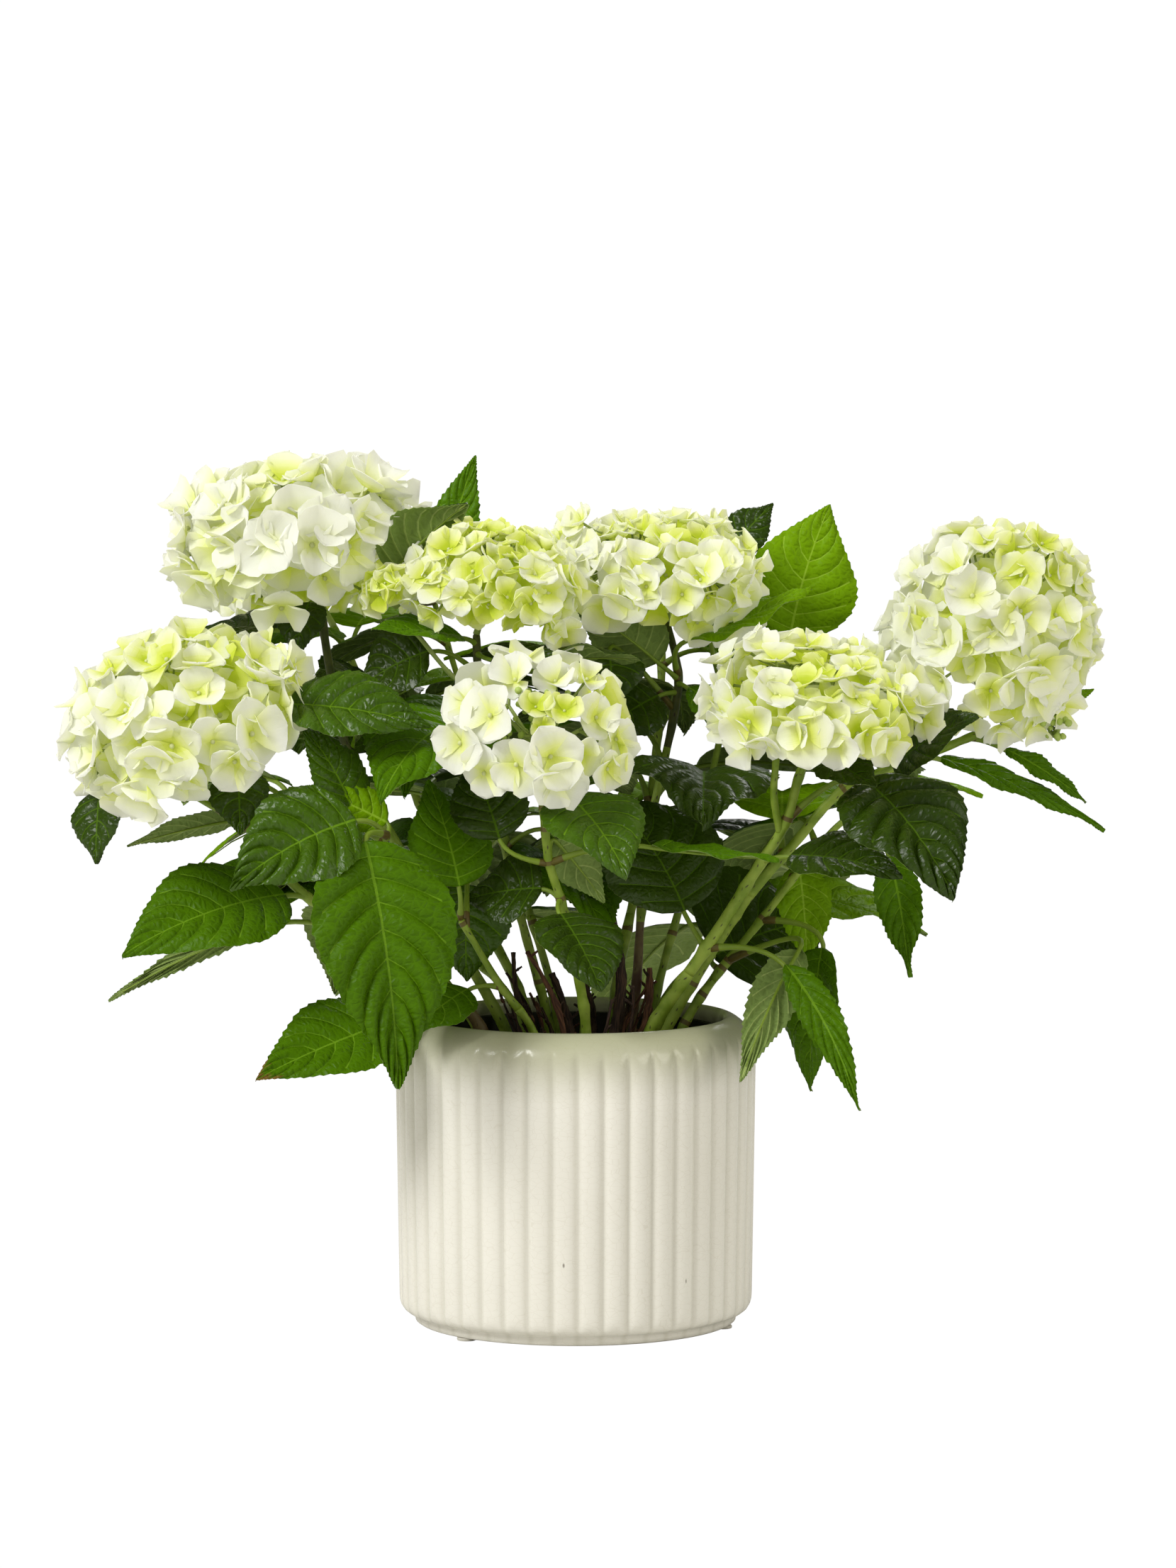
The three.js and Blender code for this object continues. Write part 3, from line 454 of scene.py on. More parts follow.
# %% Growth plan
# shoot: line, foot radius, tip radius, bare share, side twig, posed leaves, ruled whorls, leaf tones
# posed leaf: place, stalk heading, rise, length, blade heading, rise, bend, length, width, roll
SHOOTS = {
    "left_tall": dict(
        line=[(-34, 14), (-46, 11, 180), (-98, 10, 268), (-132, 10, 332), (-142, 10, 378), (-149, 10, 424)],
        foot=5.2, tip=3.4, bare=0.45, tones="dd", dark=0.55,
        posed=[(0.94, -140, -5, 28, -170, -6, 20, 62, 52, -15),
               (0.93, -95, 5, 22, -82, -55, 30, 52, 40, 0)],
        ruled=[(0.6, (110,), 105), (0.78, (60, 205), 92)]),
    "left_low": dict(
        line=[(-48, -10), (-58, -15, 179), (-80, -20, 202), (-159, -45, 258), (-193, -58, 304)],
        foot=5.2, tip=3.2, bare=0.2, tones="ddmmmmdmb", woody=0.16,
        side=[(-116, -32, 230), (-112, -60, 262), (-106, -95, 294)],
        posed=[(0.97, -42, 44, 74, -11, 8, 15, 84, 62, 35), (0.93, 177, -2, 72, -113, -66, 20, 44, 50, 0),
               (0.96, 110, 0, 24, -174, -14, 10, 66, 42, 40),
               (0.69, -150, 12, 16, -150, -10, 35, 108, 72, -28),
               (0.5, 170, 5, 62, 180, -26, 15, 100, 42, 82),
               (1.98, -118, -4, 24, -62, -74, 26, 137, 78, 8),
               (1.97, -140, 26, 24, -157, -26, 25, 84, 66, -45),
               (1.95, 86, 57, 10, 180, 23, 10, 66, 40, 60),
               (0.28, -120, -16, 50, -148, -12, 10, 94, 42, -35)],
        ruled=[(0.84, (95,), 88)]),
    "mid_left": dict(
        line=[(-13, 14), (-17, 10, 180), (-34, 0, 246), (-47, -10, 315), (-56, -18, 380), (-57, -20, 404)],
        foot=4.2, tip=3, bare=0.35, tones="mdd", dark=0.7,
        posed=[(0.97, -150, 14, 12, -144, -3, 10, 40, 35, -20),
               (0.95, -56, -9, 16, -29, 12, -15, 40, 40, 30),
               (0.9, 180, 26, 32, -177, -28, 20, 45, 44, -50)],
        ruled=[(0.5, (150, -25), 112), (0.7, (75, -120), 104), (0.84, (165, 10), 84)]),
    "mid_right": dict(
        line=[(30, 16), (35, 15, 190), (38, 19, 235), (44, 25, 290), (57, 33, 350), (60, 36, 375),
              (53, 40, 408)],
        foot=4.2, tip=3, bare=0.35, tones="mddmb", woody=0.3, dark=0.7,
        posed=[(0.86, -136, 42, 20, -159, 41, 15, 62, 45, 50),
               (0.79, -155, 40, 55, -83, -62, 30, 36, 38, 0),
               (0.83, -145, -4, 14, -153, -31, 20, 48, 46, -40),
               (0.85, -61, -6, 12, -23, -43, 30, 46, 28, 30), (0.87, -77, 24, 28, -3, 15, -15, 72, 42, 20)],
        ruled=[(0.48, (95, -70), 114), (0.66, (10, 165), 106), (0.76, (70,), 90)]),
    "centre": dict(
        line=[(7, -34), (5, -40, 187), (-8, -62, 252), (-15, -72, 276), (-18, -84, 306), (-20, -91, 330)],
        foot=4.6, tip=3, bare=0.42, tones="ddmmm",
        posed=[(0.87, -55, 22, 26, -55, -36, 30, 72, 60, 10),
               (0.69, -172, 27, 32, 126, 54, 20, 56, 44, -30),
               (0.69, -17, 11, 62, -2, -7, 10, 72, 40, -75),
               (0.56, -90, -26, 18, -53, -47, 20, 64, 54, 0),
               (0.56, 169, 31, 13, 160, -10, 15, 48, 46, -50)],
        ruled=[(0.8, (70,), 80)]),
    "right_front": dict(
        line=[(34, -18), (47, -25, 180), (74, -35, 221), (105, -45, 271), (120, -50, 296),
              (127, -55, 322), (134, -59, 340)],
        foot=6, tip=3.6, bare=0.3, tones="dmmdd", side=[(117, -49, 290), (113, -58, 312), (114, -66, 336)],
        posed=[(0.38, 133, 50, 27, 153, 53, 25, 84, 88, -25),
               (0.38, -29, -7, 52, -45, -54, 30, 98, 38, 66),
               (0.66, -34, 34, 23, -29, -7, 20, 72, 56, 20),
               (0.91, -50, 13, 18, -39, -25, 15, 42, 36, 25),
               (0.79, -18, 29, 52, -50, -39, 35, 98, 76, 15)],
        ruled=[(0.58, (95,), 108)]),
    "right_far": dict(
        line=[(44, -2), (58, -5, 182), (98, -10, 247), (124, -12, 278), (155, -12, 312), (197, -5, 329),
              (236, 6, 344)],
        foot=5, tip=3.4, bare=0.4, tones="bmbm",
        posed=[(0.85, 11, 2, 26, 5, -24, 15, 96, 36, 30), (0.97, 26, -18, 24, -2, -33, 15, 56, 26, 40),
               (0.97, 34, 10, 47, 16, 25, 5, 42, 22, 30), (0.72, -27, 33, 24, -29, 38, 15, 54, 48, 40)],
        ruled=[(0.5, (110,), 108), (0.68, (75, -95), 100), (0.84, (120,), 88)]),
    "back_left": dict(
        line=[(-22, 34), (-34, 44, 190), (-80, 80, 270), (-120, 112, 350), (-146, 128, 400)],
        foot=4.6, tip=3.2, bare=0.32,
        ruled=[(0.4, (150, -20), 118), (0.58, (65, -115), 116), (0.76, (160, -15), 104),
               (0.92, (80, 230), 84)]),
    "back_right": dict(
        line=[(20, 44), (24, 52, 190), (40, 85, 270), (50, 118, 345), (52, 138, 394)],
        foot=4.6, tip=3.2, bare=0.32,
        ruled=[(0.4, (60, -150), 118), (0.58, (140, -30), 116), (0.76, (40, 190), 104),
               (0.92, (110, -10), 84)]),
    "front_small": dict(
        line=[(-17, -44), (-26, -51, 180), (-42, -56, 202), (-66, -62, 243)],
        foot=3.8, tip=2.6, bare=0.4, tones="mdm",
        posed=[(1, -90, 72, 20, 129, 64, 15, 66, 52, -10), (0.93, 90, 46, 27, -104, -81, 15, 56, 54, 0),
               (0.55, -162, 0, 20, -142, -29, 15, 38, 36, -20)]),
    "right_leafy": dict(
        line=[(54, 12), (70, 16, 184), (110, 22, 235), (150, 24, 285), (168, 20, 300)],
        foot=4.2, tip=2.6, bare=0.28, tones="mbdmd",
        posed=[(1, -45, -53, 38, -34, -73, 20, 72, 48, 20), (0.67, 71, 26, 18, 34, -76, 20, 60, 44, 30),
               (0.52, -47, -42, 34, -152, -74, 15, 80, 54, 0),
               (0.36, -64, -4, 60, -107, -43, 20, 84, 40, 25), (0.32, 98, 45, 22, 38, 34, 20, 78, 80, 50)],
        ruled=[(0.8, (100,), 100), (1, (35,), 92)]),
    "left_back": dict(
        line=[(-50, 18), (-68, 28, 185), (-120, 52, 240), (-165, 70, 290)], foot=4, tip=2.6, bare=0.3,
        ruled=[(0.45, (100, -100), 112), (0.7, (175, 30), 112), (1, (120, -165), 98)]),
    "rear_left": dict(
        line=[(-8, 34), (-14, 40, 190), (-42, 56, 280), (-66, 66, 360), (-84, 70, 418)],
        foot=4, tip=2.4, bare=0.3, tones="md",
        posed=[(1, 60, 60, 22, 30, 70, 8, 62, 32, 60), (1, -150, 35, 18, 10, 40, 15, 62, 58, 50)],
        ruled=[(0.4, (115, -65), 112), (0.58, (30, 205), 112), (0.76, (110, -80), 100), (0.9, (160,), 84)]),
    "rear_right": dict(
        line=[(40, 34), (48, 40, 190), (70, 55, 270), (88, 64, 350), (98, 66, 392)],
        foot=4, tip=2.6, bare=0.3, tones="bm",
        posed=[(1, 66, 18, 36, 10, 58, 15, 92, 80, 72), (0.86, 88, 76, 86, 21, 63, 8, 40, 28, 55)],
        ruled=[(0.42, (15, 170), 116), (0.6, (85, -90), 112), (0.78, (10, 150), 98)]),
    "low_left": dict(
        line=[(-28, 50), (-40, 62, 184), (-82, 106, 220), (-112, 148, 264)], foot=3.6, tip=2.4, bare=0.34,
        ruled=[(0.5, (175, 40), 108), (0.74, (110, -140), 110), (1, (165, 60), 96)]),
    "low_mid": dict(
        line=[(4, 58), (6, 72, 184), (12, 116, 226), (16, 156, 272)], foot=3.6, tip=2.4, bare=0.34,
        ruled=[(0.5, (170, 20), 108), (0.74, (100, -80), 108), (1, (150, 35), 96)]),
    "low_right": dict(
        line=[(42, 50), (54, 64, 184), (98, 106, 222), (128, 146, 268)], foot=3.6, tip=2.4, bare=0.34,
        ruled=[(0.5, (0, 130), 108), (0.74, (60, -40), 110), (1, (105, 10), 96)]),
}
# How a fine leaf differs from its coarse one: it is narrower, more twisted or turned
FINE = {
    "left_tall": {1: dict(away=-150, climb=58, reach=19, heading=-120, rise=-60, long=36, wide=30)},
    "left_low": {
        0: dict(climb=62, reach=76, long=84, wide=56, rise=-8, pucker=1.5, tone="g"),
        1: dict(climb=15, reach=90, heading=-95, rise=-70, long=44, wide=36, roll=30),
        2: dict(wide=22, tone="b"), 3: dict(wide=80, rise=-16, bend=24), 4: dict(wide=12, tone="b"),
        5: dict(long=142, wide=82, rise=-73, pucker=1.5), 6: dict(pucker=2.2, tone="g"),
        7: dict(tone="b", pucker=2.0, long=52, wide=27, roll=-60),
        8: dict(wide=58, rise=-17, climb=-22, scorched=1.0, tone="m")},
    "mid_left": {
        0: dict(long=62, wide=38, heading=-157, rise=-4), 1: dict(long=46, wide=30, rise=6),
        "01": dict(long=46, wide=30, roll=150)},
    "mid_right": {4: dict(climb=40, reach=30, long=78)},
    "centre": {
        0: dict(tone="g"), 2: dict(roll=6, wide=26, rise=-6, bend=-6),
        3: dict(wide=58, long=56, tone="d", blunt=0.05, climb=-20, pucker=1.3), 4: dict(tone="d")},
    "right_front": {
        # Leaf 2 takes the deep tone as painted shade, for it lies in shadow
        1: dict(wide=22, roll=50, twist=70), 2: dict(climb=14, reach=20, tone="d"),
        3: dict(climb=34, reach=22, rise=-20), 4: dict(climb=36, rise=-32, bend=30, pucker=2.0)},
    "right_far": {
        0: dict(reach=14, long=106, wide=22, tone="m"), 1: dict(wide=14),
        3: dict(tone="d", long=62, wide=54)},
    "front_small": {1: dict(reach=36, tone="g"), 2: dict(long=48, wide=40)},
    "right_leafy": {
        0: dict(wide=27, roll=45, twist=70, heading=-60, reach=35),
        1: dict(heading=-70, rise=-78, roll=0, wide=34, tone="b"),
        2: dict(reach=42, long=84, wide=60, climb=-10, away=-40, tone="m", roll=10),
        3: dict(reach=68, away=-47, climb=10, heading=-112, long=100, wide=27, roll=145),
        4: dict(wide=98, long=86, climb=26, rise=18)},
    "left_back": {"10": dict(long=66, wide=42)},
    "rear_left": {
        0: dict(long=70, wide=27, rise=72),
        1: dict(away=-106, climb=14, reach=84, heading=-6, rise=42, long=60, wide=52, roll=-50, pucker=1.8)},
    "rear_right": {
        0: dict(away=38, climb=4, reach=37, heading=20, rise=72, long=84, wide=66),
        1: dict(reach=104, long=40, tone="d", climb=74)},
}
# Young leaves between the others, too small to have a coarse one: a posed leaf and its tone
YOUNG = {
    "left_low": [((1.9, 175, 42, 24, 165, 58, 25, 60, 34, -40), "g"),
                 ((0.9, -112, 58, 48, -84, -58, 20, 40, 34, 10), "d")],
    "centre": [((0.69, 70, 48, 16, 0, -52, 10, 45, 27, -80), "m")],
}
STUBS = [((-17, 2), (-36, 2, 216), 2.4), ((-5, -15), (-28, -12, 218), 2.2), ((-3, 2), (-14, 8, 203), 4),
         ((18, -8), (17, -5, 250), 5.4), ((31, 3), (43, 9, 206), 4), ((8, 22), (4, 26, 198), 4)]
FAN = [(0, 0), (7, 0), (-7, 0), (0, 8), (0, -8), (12, 10), (-12, 10), (12, -10), (-12, -10), (20, 0),
       (-20, 0), (0, 18), (0, -18), (26, 14), (-26, 14), (26, -14), (-26, -14), (38, 0), (-38, 0)]
print("shoots:", len(SHOOTS), "posed leaves:", sum(len(shoot.get("posed", ())) for shoot in SHOOTS.values()))

# %% [markdown]
# ## Lines, directions and chance
# A shoot's line is a smooth curve through its bends, measured out evenly along its length. The
# chance is the same on every run: the far decimals of a sine.

# %% Lines, directions and chance
def chance(seed):
    wave = math.sin(seed * 12.9898) * 43758.5453
    return wave - math.floor(wave)


def direction(heading, rise):
    heading, rise = np.radians(heading), np.radians(rise)
    return np.stack(np.broadcast_arrays(np.cos(rise) * np.cos(heading), np.cos(rise) * np.sin(heading),
                                        np.sin(rise)), axis=-1)


def unit(vectors):
    return vectors / np.maximum(np.linalg.norm(vectors, axis=-1, keepdims=True), 1e-9)


def read_off(at, places, points):
    """Points read off between others that lie at rising places."""
    return np.stack([np.interp(at, places, points[:, axis]) for axis in range(3)], axis=-1)


def arc(start, bend, end, steps):
    """Points of a curve that leaves its start towards the bend and comes to its end from there."""
    t = np.linspace(0, 1, steps)[:, None]
    return (1 - t) ** 2 * start + 2 * t * (1 - t) * bend + t ** 2 * end


class Line:
    """A smooth curve through points, read off at shares of its length."""

    def __init__(self, bends, pieces=200):
        bends = np.array(bends, float)
        ends = np.vstack([2 * bends[0] - bends[1], bends, 2 * bends[-1] - bends[-2]])
        made = []
        for a, b, c, d in zip(ends, ends[1:], ends[2:], ends[3:]):
            ab, bc, cd = (np.sum((q - p) ** 2) ** 0.25 for p, q in ((a, b), (b, c), (c, d)))
            leave = ((b - a) / ab - (c - a) / (ab + bc) + (c - b) / bc) * bc
            arrive = ((c - b) / bc - (d - b) / (bc + cd) + (d - c) / cd) * bc
            share = np.linspace(0, 1, pieces)[:, None]
            made.append(b + leave * share + (3 * (c - b) - 2 * leave - arrive) * share ** 2
                        + (2 * (b - c) + leave + arrive) * share ** 3)
        self.points = np.vstack(made)
        steps = np.linalg.norm(np.diff(self.points, axis=0), axis=1)
        self.reach = np.concatenate([[0], np.cumsum(steps)])
        self.length = self.reach[-1]

    def at(self, share):
        return read_off(np.clip(share, 0, 1) * self.length, self.reach, self.points)

    def way(self, share):
        share = np.asarray(share, float)
        return unit(self.at(share + 0.004) - self.at(share - 0.004))


def shoot_line(shoot):
    return Line([bend if len(bend) == 3 else (*bend, COMPOST_TOP + 0.3) for bend in shoot["line"]])


lines = {name: shoot_line(shoot) for name, shoot in SHOOTS.items()}
side_lines = {name: Line(shoot["side"]) for name, shoot in SHOOTS.items() if "side" in shoot}
print("longest shoot:", round(max(line.length for line in lines.values())), "mm")

# %% [markdown]
# ## Meshes from many small parts
# Leaves, petals and stalks come in hundreds, so they aren't modelled one by one: a `Gathering`
# collects the points and faces of all of one kind and makes a single mesh of them. Each face
# says which finish it takes, and each point carries a `tone`, a small number that lets leaves of
# one finish differ a little, and its own flat pattern place.

# %% Gathering
class Gathering:
    def __init__(self):
        self.points, self.faces, self.slots, self.tones, self.flat, self.count = [], [], [], [], [], 0

    def add(self, points, faces, slots, tone=0.5, flat=None):
        total = len(points)
        self.points.append(points)
        self.faces.append(faces + self.count)
        self.slots.append(np.broadcast_to(slots, len(faces)))
        self.tones.append(np.broadcast_to(tone, total))
        self.flat.append(np.zeros((total, 2)) if flat is None else flat)
        self.count += total

    def make(self, name, finishes, slot, replaced=(), smooth=60):
        points, faces = np.concatenate(self.points), np.concatenate(self.faces)
        mesh = bpy.data.meshes.new(name)
        mesh.vertices.add(len(points))
        mesh.vertices.foreach_set("co", (points * MM).astype(np.float32).ravel())
        mesh.loops.add(faces.size)
        mesh.loops.foreach_set("vertex_index", faces.astype(np.int32).ravel())
        mesh.polygons.add(len(faces))
        mesh.polygons.foreach_set("loop_start", np.arange(0, faces.size, 4, dtype=np.int32))
        for finish in finishes:
            mesh.materials.append(finish)
        mesh.polygons.foreach_set("material_index", np.concatenate(self.slots).astype(np.int32))
        mesh.update(calc_edges=True)
        tone = mesh.attributes.new("tone", "FLOAT", "POINT")
        tone.data.foreach_set("value", np.concatenate(self.tones).astype(np.float32))
        pattern = mesh.uv_layers.new(name="pattern")
        flat = np.concatenate(self.flat)[faces.ravel()]
        pattern.data.foreach_set("uv", flat.astype(np.float32).ravel())
        mesh.validate()
        piece = bpy.data.objects.new(name, mesh)
        bpy.context.scene.collection.objects.link(piece)
        bpy.ops.object.select_all(action="DESELECT")
        piece.select_set(True)
        bpy.context.view_layer.objects.active = piece
        bpy.ops.object.shade_smooth_by_angle(angle=math.radians(smooth))
        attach(piece, "root")
        if replaced:
            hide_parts(*replaced)
        print(name, "triangles:", 2 * len(faces))


def grid_faces(rows, columns, start=0):
    """Faces between the points of a grid that is stored row by row."""
    corner = (np.arange(rows - 1)[:, None] * columns + np.arange(columns - 1)[None, :]).reshape(-1, 1) + start
    return corner + np.array([0, 1, columns + 1, columns])


# Turns a face over and keeps the corner it starts from, so that both sides fold along one diagonal
UNDERNEATH = [0, 3, 2, 1]


def rim_faces(rows, columns, under):
    """Faces that close the rim between a grid and the same grid lying under it."""
    ring = np.concatenate([np.arange(columns), np.arange(1, rows) * columns + columns - 1,
                           (rows - 1) * columns + np.arange(columns - 2, -1, -1),
                           np.arange(rows - 2, 0, -1) * columns])
    following = np.roll(ring, -1)
    return np.stack([ring, ring + under, following + under, following], axis=1)


def tube(path, radii, sides):
    """Points and faces of a closed round tube along a path, and how far round and along each point lies."""
    path, radii = np.asarray(path, float), np.broadcast_to(radii, len(path)).astype(float)
    ways = unit(np.gradient(path, axis=0))
    steady = np.eye(3)[np.argmin(np.abs(path[-1] - path[0]))]
    first = unit(steady - ways * (ways @ steady)[:, None])
    second = np.cross(ways, first)
    turn = np.arange(sides) * 2 * np.pi / sides
    ring = np.cos(turn)[None, :, None] * first[:, None, :] + np.sin(turn)[None, :, None] * second[:, None, :]
    points = path[:, None, :] + ring * radii[:, None, None]
    lengths = np.concatenate([[0], np.cumsum(np.linalg.norm(np.diff(path, axis=0), axis=1))])
    rows, index = len(path), np.arange(sides)
    step = np.roll(index, -1)
    faces = np.concatenate([np.stack([index + row * sides, step + row * sides, step + (row + 1) * sides,
                                      index + (row + 1) * sides], axis=1) for row in range(rows - 1)])
    points = points.reshape(-1, 3)
    ends = np.vstack([path[0] - ways[0] * radii[0] * 0.2, path[-1] + ways[-1] * radii[-1] * 0.2])
    last = rows * sides
    caps = []
    for side in range(0, sides, 2):
        after, further = (side + 1) % sides, (side + 2) % sides
        caps.append([last, further, after, side])
        caps.append([last + 1, side + last - sides, after + last - sides, further + last - sides])
    flat = np.stack([np.tile(turn, rows) * np.repeat(radii, sides), np.repeat(lengths, sides)], axis=1)
    return (np.vstack([points, ends]), np.vstack([faces, np.array(caps)]),
            np.vstack([flat, [[0, 0], [0, lengths[-1]]]]) * MM)


print("mesh helpers ready")

# %% [markdown]
# ## Green finishes
# A hydrangea leaf is glossy and deep green above and dull and pale below. Its veins are lighter
# than the blade. A fine net of Voronoi cells stands for the smallest veins between them. Stems
# are olive green with dark dashes, the lenticels through which bark breathes.

# %% Green finishes
def leaf_finish(name, colour, gloss, net=0.0007, shine=0.08):
    finish = Finish(name)
    place = finish.place()
    pattern, tone = finish.pattern(), finish.attribute("tone")
    patches = finish.speckle(place, 60, 3)
    noisy = {"Vector": pattern, "Scale": 260, "Detail": 2}
    wander = finish.node("ShaderNodeTexNoise", None, noisy, output="Color")
    bent = finish.node("ShaderNodeMix", {"data_type": "VECTOR"}, {0: 0.0022, 4: pattern, 5: wander}, output=1)
    field = finish.cells(finish.stretched(bent, (1, 1.5, 1)), 190, "DISTANCE_TO_EDGE")
    puff, line = finish.step(field, 0.0, 0.42), 1 - finish.step(field, 0.0, 0.07)
    # The tone makes each leaf a random lighter or darker green, and adds a painted sheen near the foot of its
    # midrib
    body = finish.mix(tone * 0.65 + patches * 0.35, shade(colour, 0.6), shade(colour, 1.4))
    lined = finish.mix(line * 0.13 + (1 - puff) * 0.08, body, shade(colour, 1.9))
    sheen = finish.speckle(place, 210, 3)
    return finish.wear(Base_Color=lined, Roughness=gloss + sheen * 0.16,
                       Normal=finish.bump(puff + sheen * 0.2, net, 0.6), Specular_IOR_Level=shine)


def stalk_finish(name, colour, other):
    return grainy_finish(name, colour, other, 130, 3, 0.5, depth=0.0004, strength=0.4)


def stem_finish(name, colour, other, dash=(0.035, 0.012, 0.012, 1), amount=0.9):
    finish = Finish(name)
    pattern = finish.pattern()
    grain = finish.speckle(finish.place(), 90, 4)
    dashes = finish.cells(finish.stretched(pattern, (420, 150, 1)), 1.0)
    scatter = finish.speckle(finish.stretched(pattern, (150, 60, 1)), 1.0, 1)
    mark = (1 - finish.step(dashes, 0.10, 0.26)) * finish.step(scatter, 0.47, 0.53) * amount
    body = finish.mix(finish.step(grain, 0.35, 0.65), colour, other)
    return finish.wear(Base_Color=finish.mix(mark, body, dash), Roughness=0.48 + grain * 0.15,
                       Normal=finish.bump(grain + mark * 0.6, 0.0006, 0.5))


def bark_finish(name, colour, other):
    finish = Finish(name)
    fibre = finish.speckle(finish.stretched(finish.pattern(), (900, 90, 1)), 1.0, 5)
    grain = finish.speckle(finish.place(), 240, 5)
    return finish.wear(Base_Color=finish.mix(finish.step(fibre, 0.35, 0.7), colour, other),
                       Roughness=0.75 + grain * 0.2, Normal=finish.bump(fibre + grain * 0.5, 0.0012, 0.8))


# name, colour of the blade and of its veins, roughness, shine, and how much the fields puff up
# The tones are partly the leaves' own greens and partly painted light: the deep tone also darkens some leaves
# that lie in shadow, and the bright tone stands for light shining through backlit leaves
LEAF_TONES = {
    "d": ("deep", (0.024, 0.052, 0.0012, 1), (0.062, 0.125, 0.006, 1), 0.26, 0.3, 1.35),
    "g": ("glossy", (0.042, 0.098, 0.0012, 1), (0.10, 0.20, 0.008, 1), 0.25, 0.32, 1.3),
    "m": ("mid", (0.060, 0.145, 0.0010, 1), (0.125, 0.25, 0.010, 1), 0.32, 0.09, 1.0),
    "b": ("bright", (0.132, 0.262, 0.0014, 1), (0.22, 0.37, 0.022, 1), 0.36, 0.05, 0.8)}
blade_tops = {key: leaf_finish(f"leaf_{name}", colour, gloss, shine=shine)
              for key, (name, colour, _, gloss, shine, _) in LEAF_TONES.items()}
blade_veins = {key: leaf_finish(f"vein_{name}", colour, 0.42, 0.0002)
               for key, (name, _, colour, *_) in LEAF_TONES.items()}
blade_under = leaf_finish("leaf_under", (0.17, 0.245, 0.065, 1), 0.5)
under_vein = leaf_finish("under_vein", (0.27, 0.35, 0.11, 1), 0.5, 0.0002)
scorched = leaf_finish("leaf_scorched", (0.16, 0.105, 0.02, 1), 0.5)
leaf_stalk = stalk_finish("leaf_stalk", (0.15, 0.25, 0.012, 1), (0.24, 0.34, 0.03, 1))
joint_red = stalk_finish("stem_joint", (0.10, 0.045, 0.012, 1), (0.15, 0.15, 0.02, 1))
dark_stem = stem_finish("dark_stem", (0.045, 0.060, 0.008, 1), (0.09, 0.10, 0.018, 1))
green_stem = stem_finish("green_stem", (0.17, 0.27, 0.010, 1), (0.29, 0.40, 0.045, 1))
brown_stem = stem_finish("brown_stem", (0.10, 0.05, 0.025, 1), (0.16, 0.12, 0.04, 1), amount=0.6)
old_wood = bark_finish("old_wood", (0.018, 0.008, 0.005, 1), (0.085, 0.045, 0.024, 1))
red_wood = bark_finish("red_wood", (0.07, 0.026, 0.014, 1), (0.22, 0.095, 0.045, 1))
print("leaf tones:", [name for name, *_ in LEAF_TONES.values()])

# %% [markdown]
# ## Leaves, as they lie in the solids
# Each leaf is posed as the solids pose it. Where it would have touched a neighbour it was turned
# a little, by the next step of a fan. The right step is found again from the solids themselves:
# the tip of the leaf is a corner of its mass.

# %% Find each leaf's pose
POSE_KEYS = ("place", "away", "climb", "reach", "heading", "rise", "bend", "long", "wide", "roll")
SPINE_STEPS = 24


def blade_line(start, leaf):
    """The line of a leaf's midrib, which bends evenly from its foot to its tip."""
    share = (np.arange(SPINE_STEPS) + 0.5) / SPINE_STEPS
    ways = direction(leaf["heading"], leaf["rise"] + leaf["bend"] * (0.5 - share))
    return np.vstack([start, start + np.cumsum(ways, axis=0) * leaf["long"] / SPINE_STEPS])


def leaves_of(name, number):
    shoot = SHOOTS[name]
    for index, (row, tone) in enumerate(zip(shoot.get("posed", ()), shoot.get("tones", ""))):
        yield dict(zip(POSE_KEYS, row), tone=tone, seed=number * 100 + 50 + index, posed=index)
    for whorl, (place, ways, length) in enumerate(shoot.get("ruled", ())):
        for side, way in enumerate(ways):
            seed = number * 100 + whorl * 10 + side
            heading, long = way + 24 * (chance(seed) - 0.5), length * (0.9 + 0.2 * chance(seed + 0.1))
            yield dict(place=place, away=heading, climb=25 + 25 * chance(seed + 0.2), reach=0.3 * long,
                       heading=heading, rise=26 * place - 34 + 24 * (chance(seed + 0.3) - 0.5),
                       bend=30 + 30 * chance(seed + 0.4), long=long,
                       wide=long * (0.6 + 0.12 * chance(seed + 0.5)), roll=40 * (chance(seed + 0.6) - 0.5),
                       seed=seed, tone="dmmb"[int(4 * chance(seed + 0.7))], posed=f"{whorl}{side}")


def root_place(name, place):
    line, place = (side_lines[name], place - 1) if place > 1 else (lines[name], min(place, 0.995))
    return line.at(place)


FOUND_WITHIN = 0.4
leaves, missed = [], []
for number, name in enumerate(SHOOTS):
    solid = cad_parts[f"leaves_{name}"].data
    corners = np.empty(len(solid.vertices) * 3)
    solid.vertices.foreach_get("co", corners)
    corners = corners.reshape(-1, 3) / MM
    for leaf in leaves_of(name, number):
        root, best = root_place(name, leaf["place"]), None
        for turn, lift in FAN:
            pose = {**leaf, "heading": leaf["heading"] + turn, "rise": leaf["rise"] + lift}
            start = root + direction(leaf["away"] + turn, leaf["climb"] + lift) * leaf["reach"]
            tip = blade_line(start, pose)[-1]
            miss = np.linalg.norm(corners - tip, axis=1).min()
            if best is None or miss < best[0]:
                best = (miss, turn, lift)
        miss, turn, lift = best
        fine = {**leaf, **FINE.get(name, {}).get(leaf["posed"], {})}
        start = root + direction(fine["away"] + turn, fine["climb"] + lift) * fine["reach"]
        fine.update(heading=fine["heading"] + turn, rise=fine["rise"] + lift, root=root, start=start)
        (leaves if miss < FOUND_WITHIN else missed).append(fine)
for name, grown in YOUNG.items():
    for row, tone in grown:
        leaf = dict(zip(POSE_KEYS, row), tone=tone, seed=3000 + 10 * len(leaves))
        root = root_place(name, leaf["place"])
        leaf.update(root=root, start=root + direction(leaf["away"], leaf["climb"]) * leaf["reach"])
        leaves.append(leaf)
print("leaves:", len(leaves), "left out where there was no room:", len(missed))

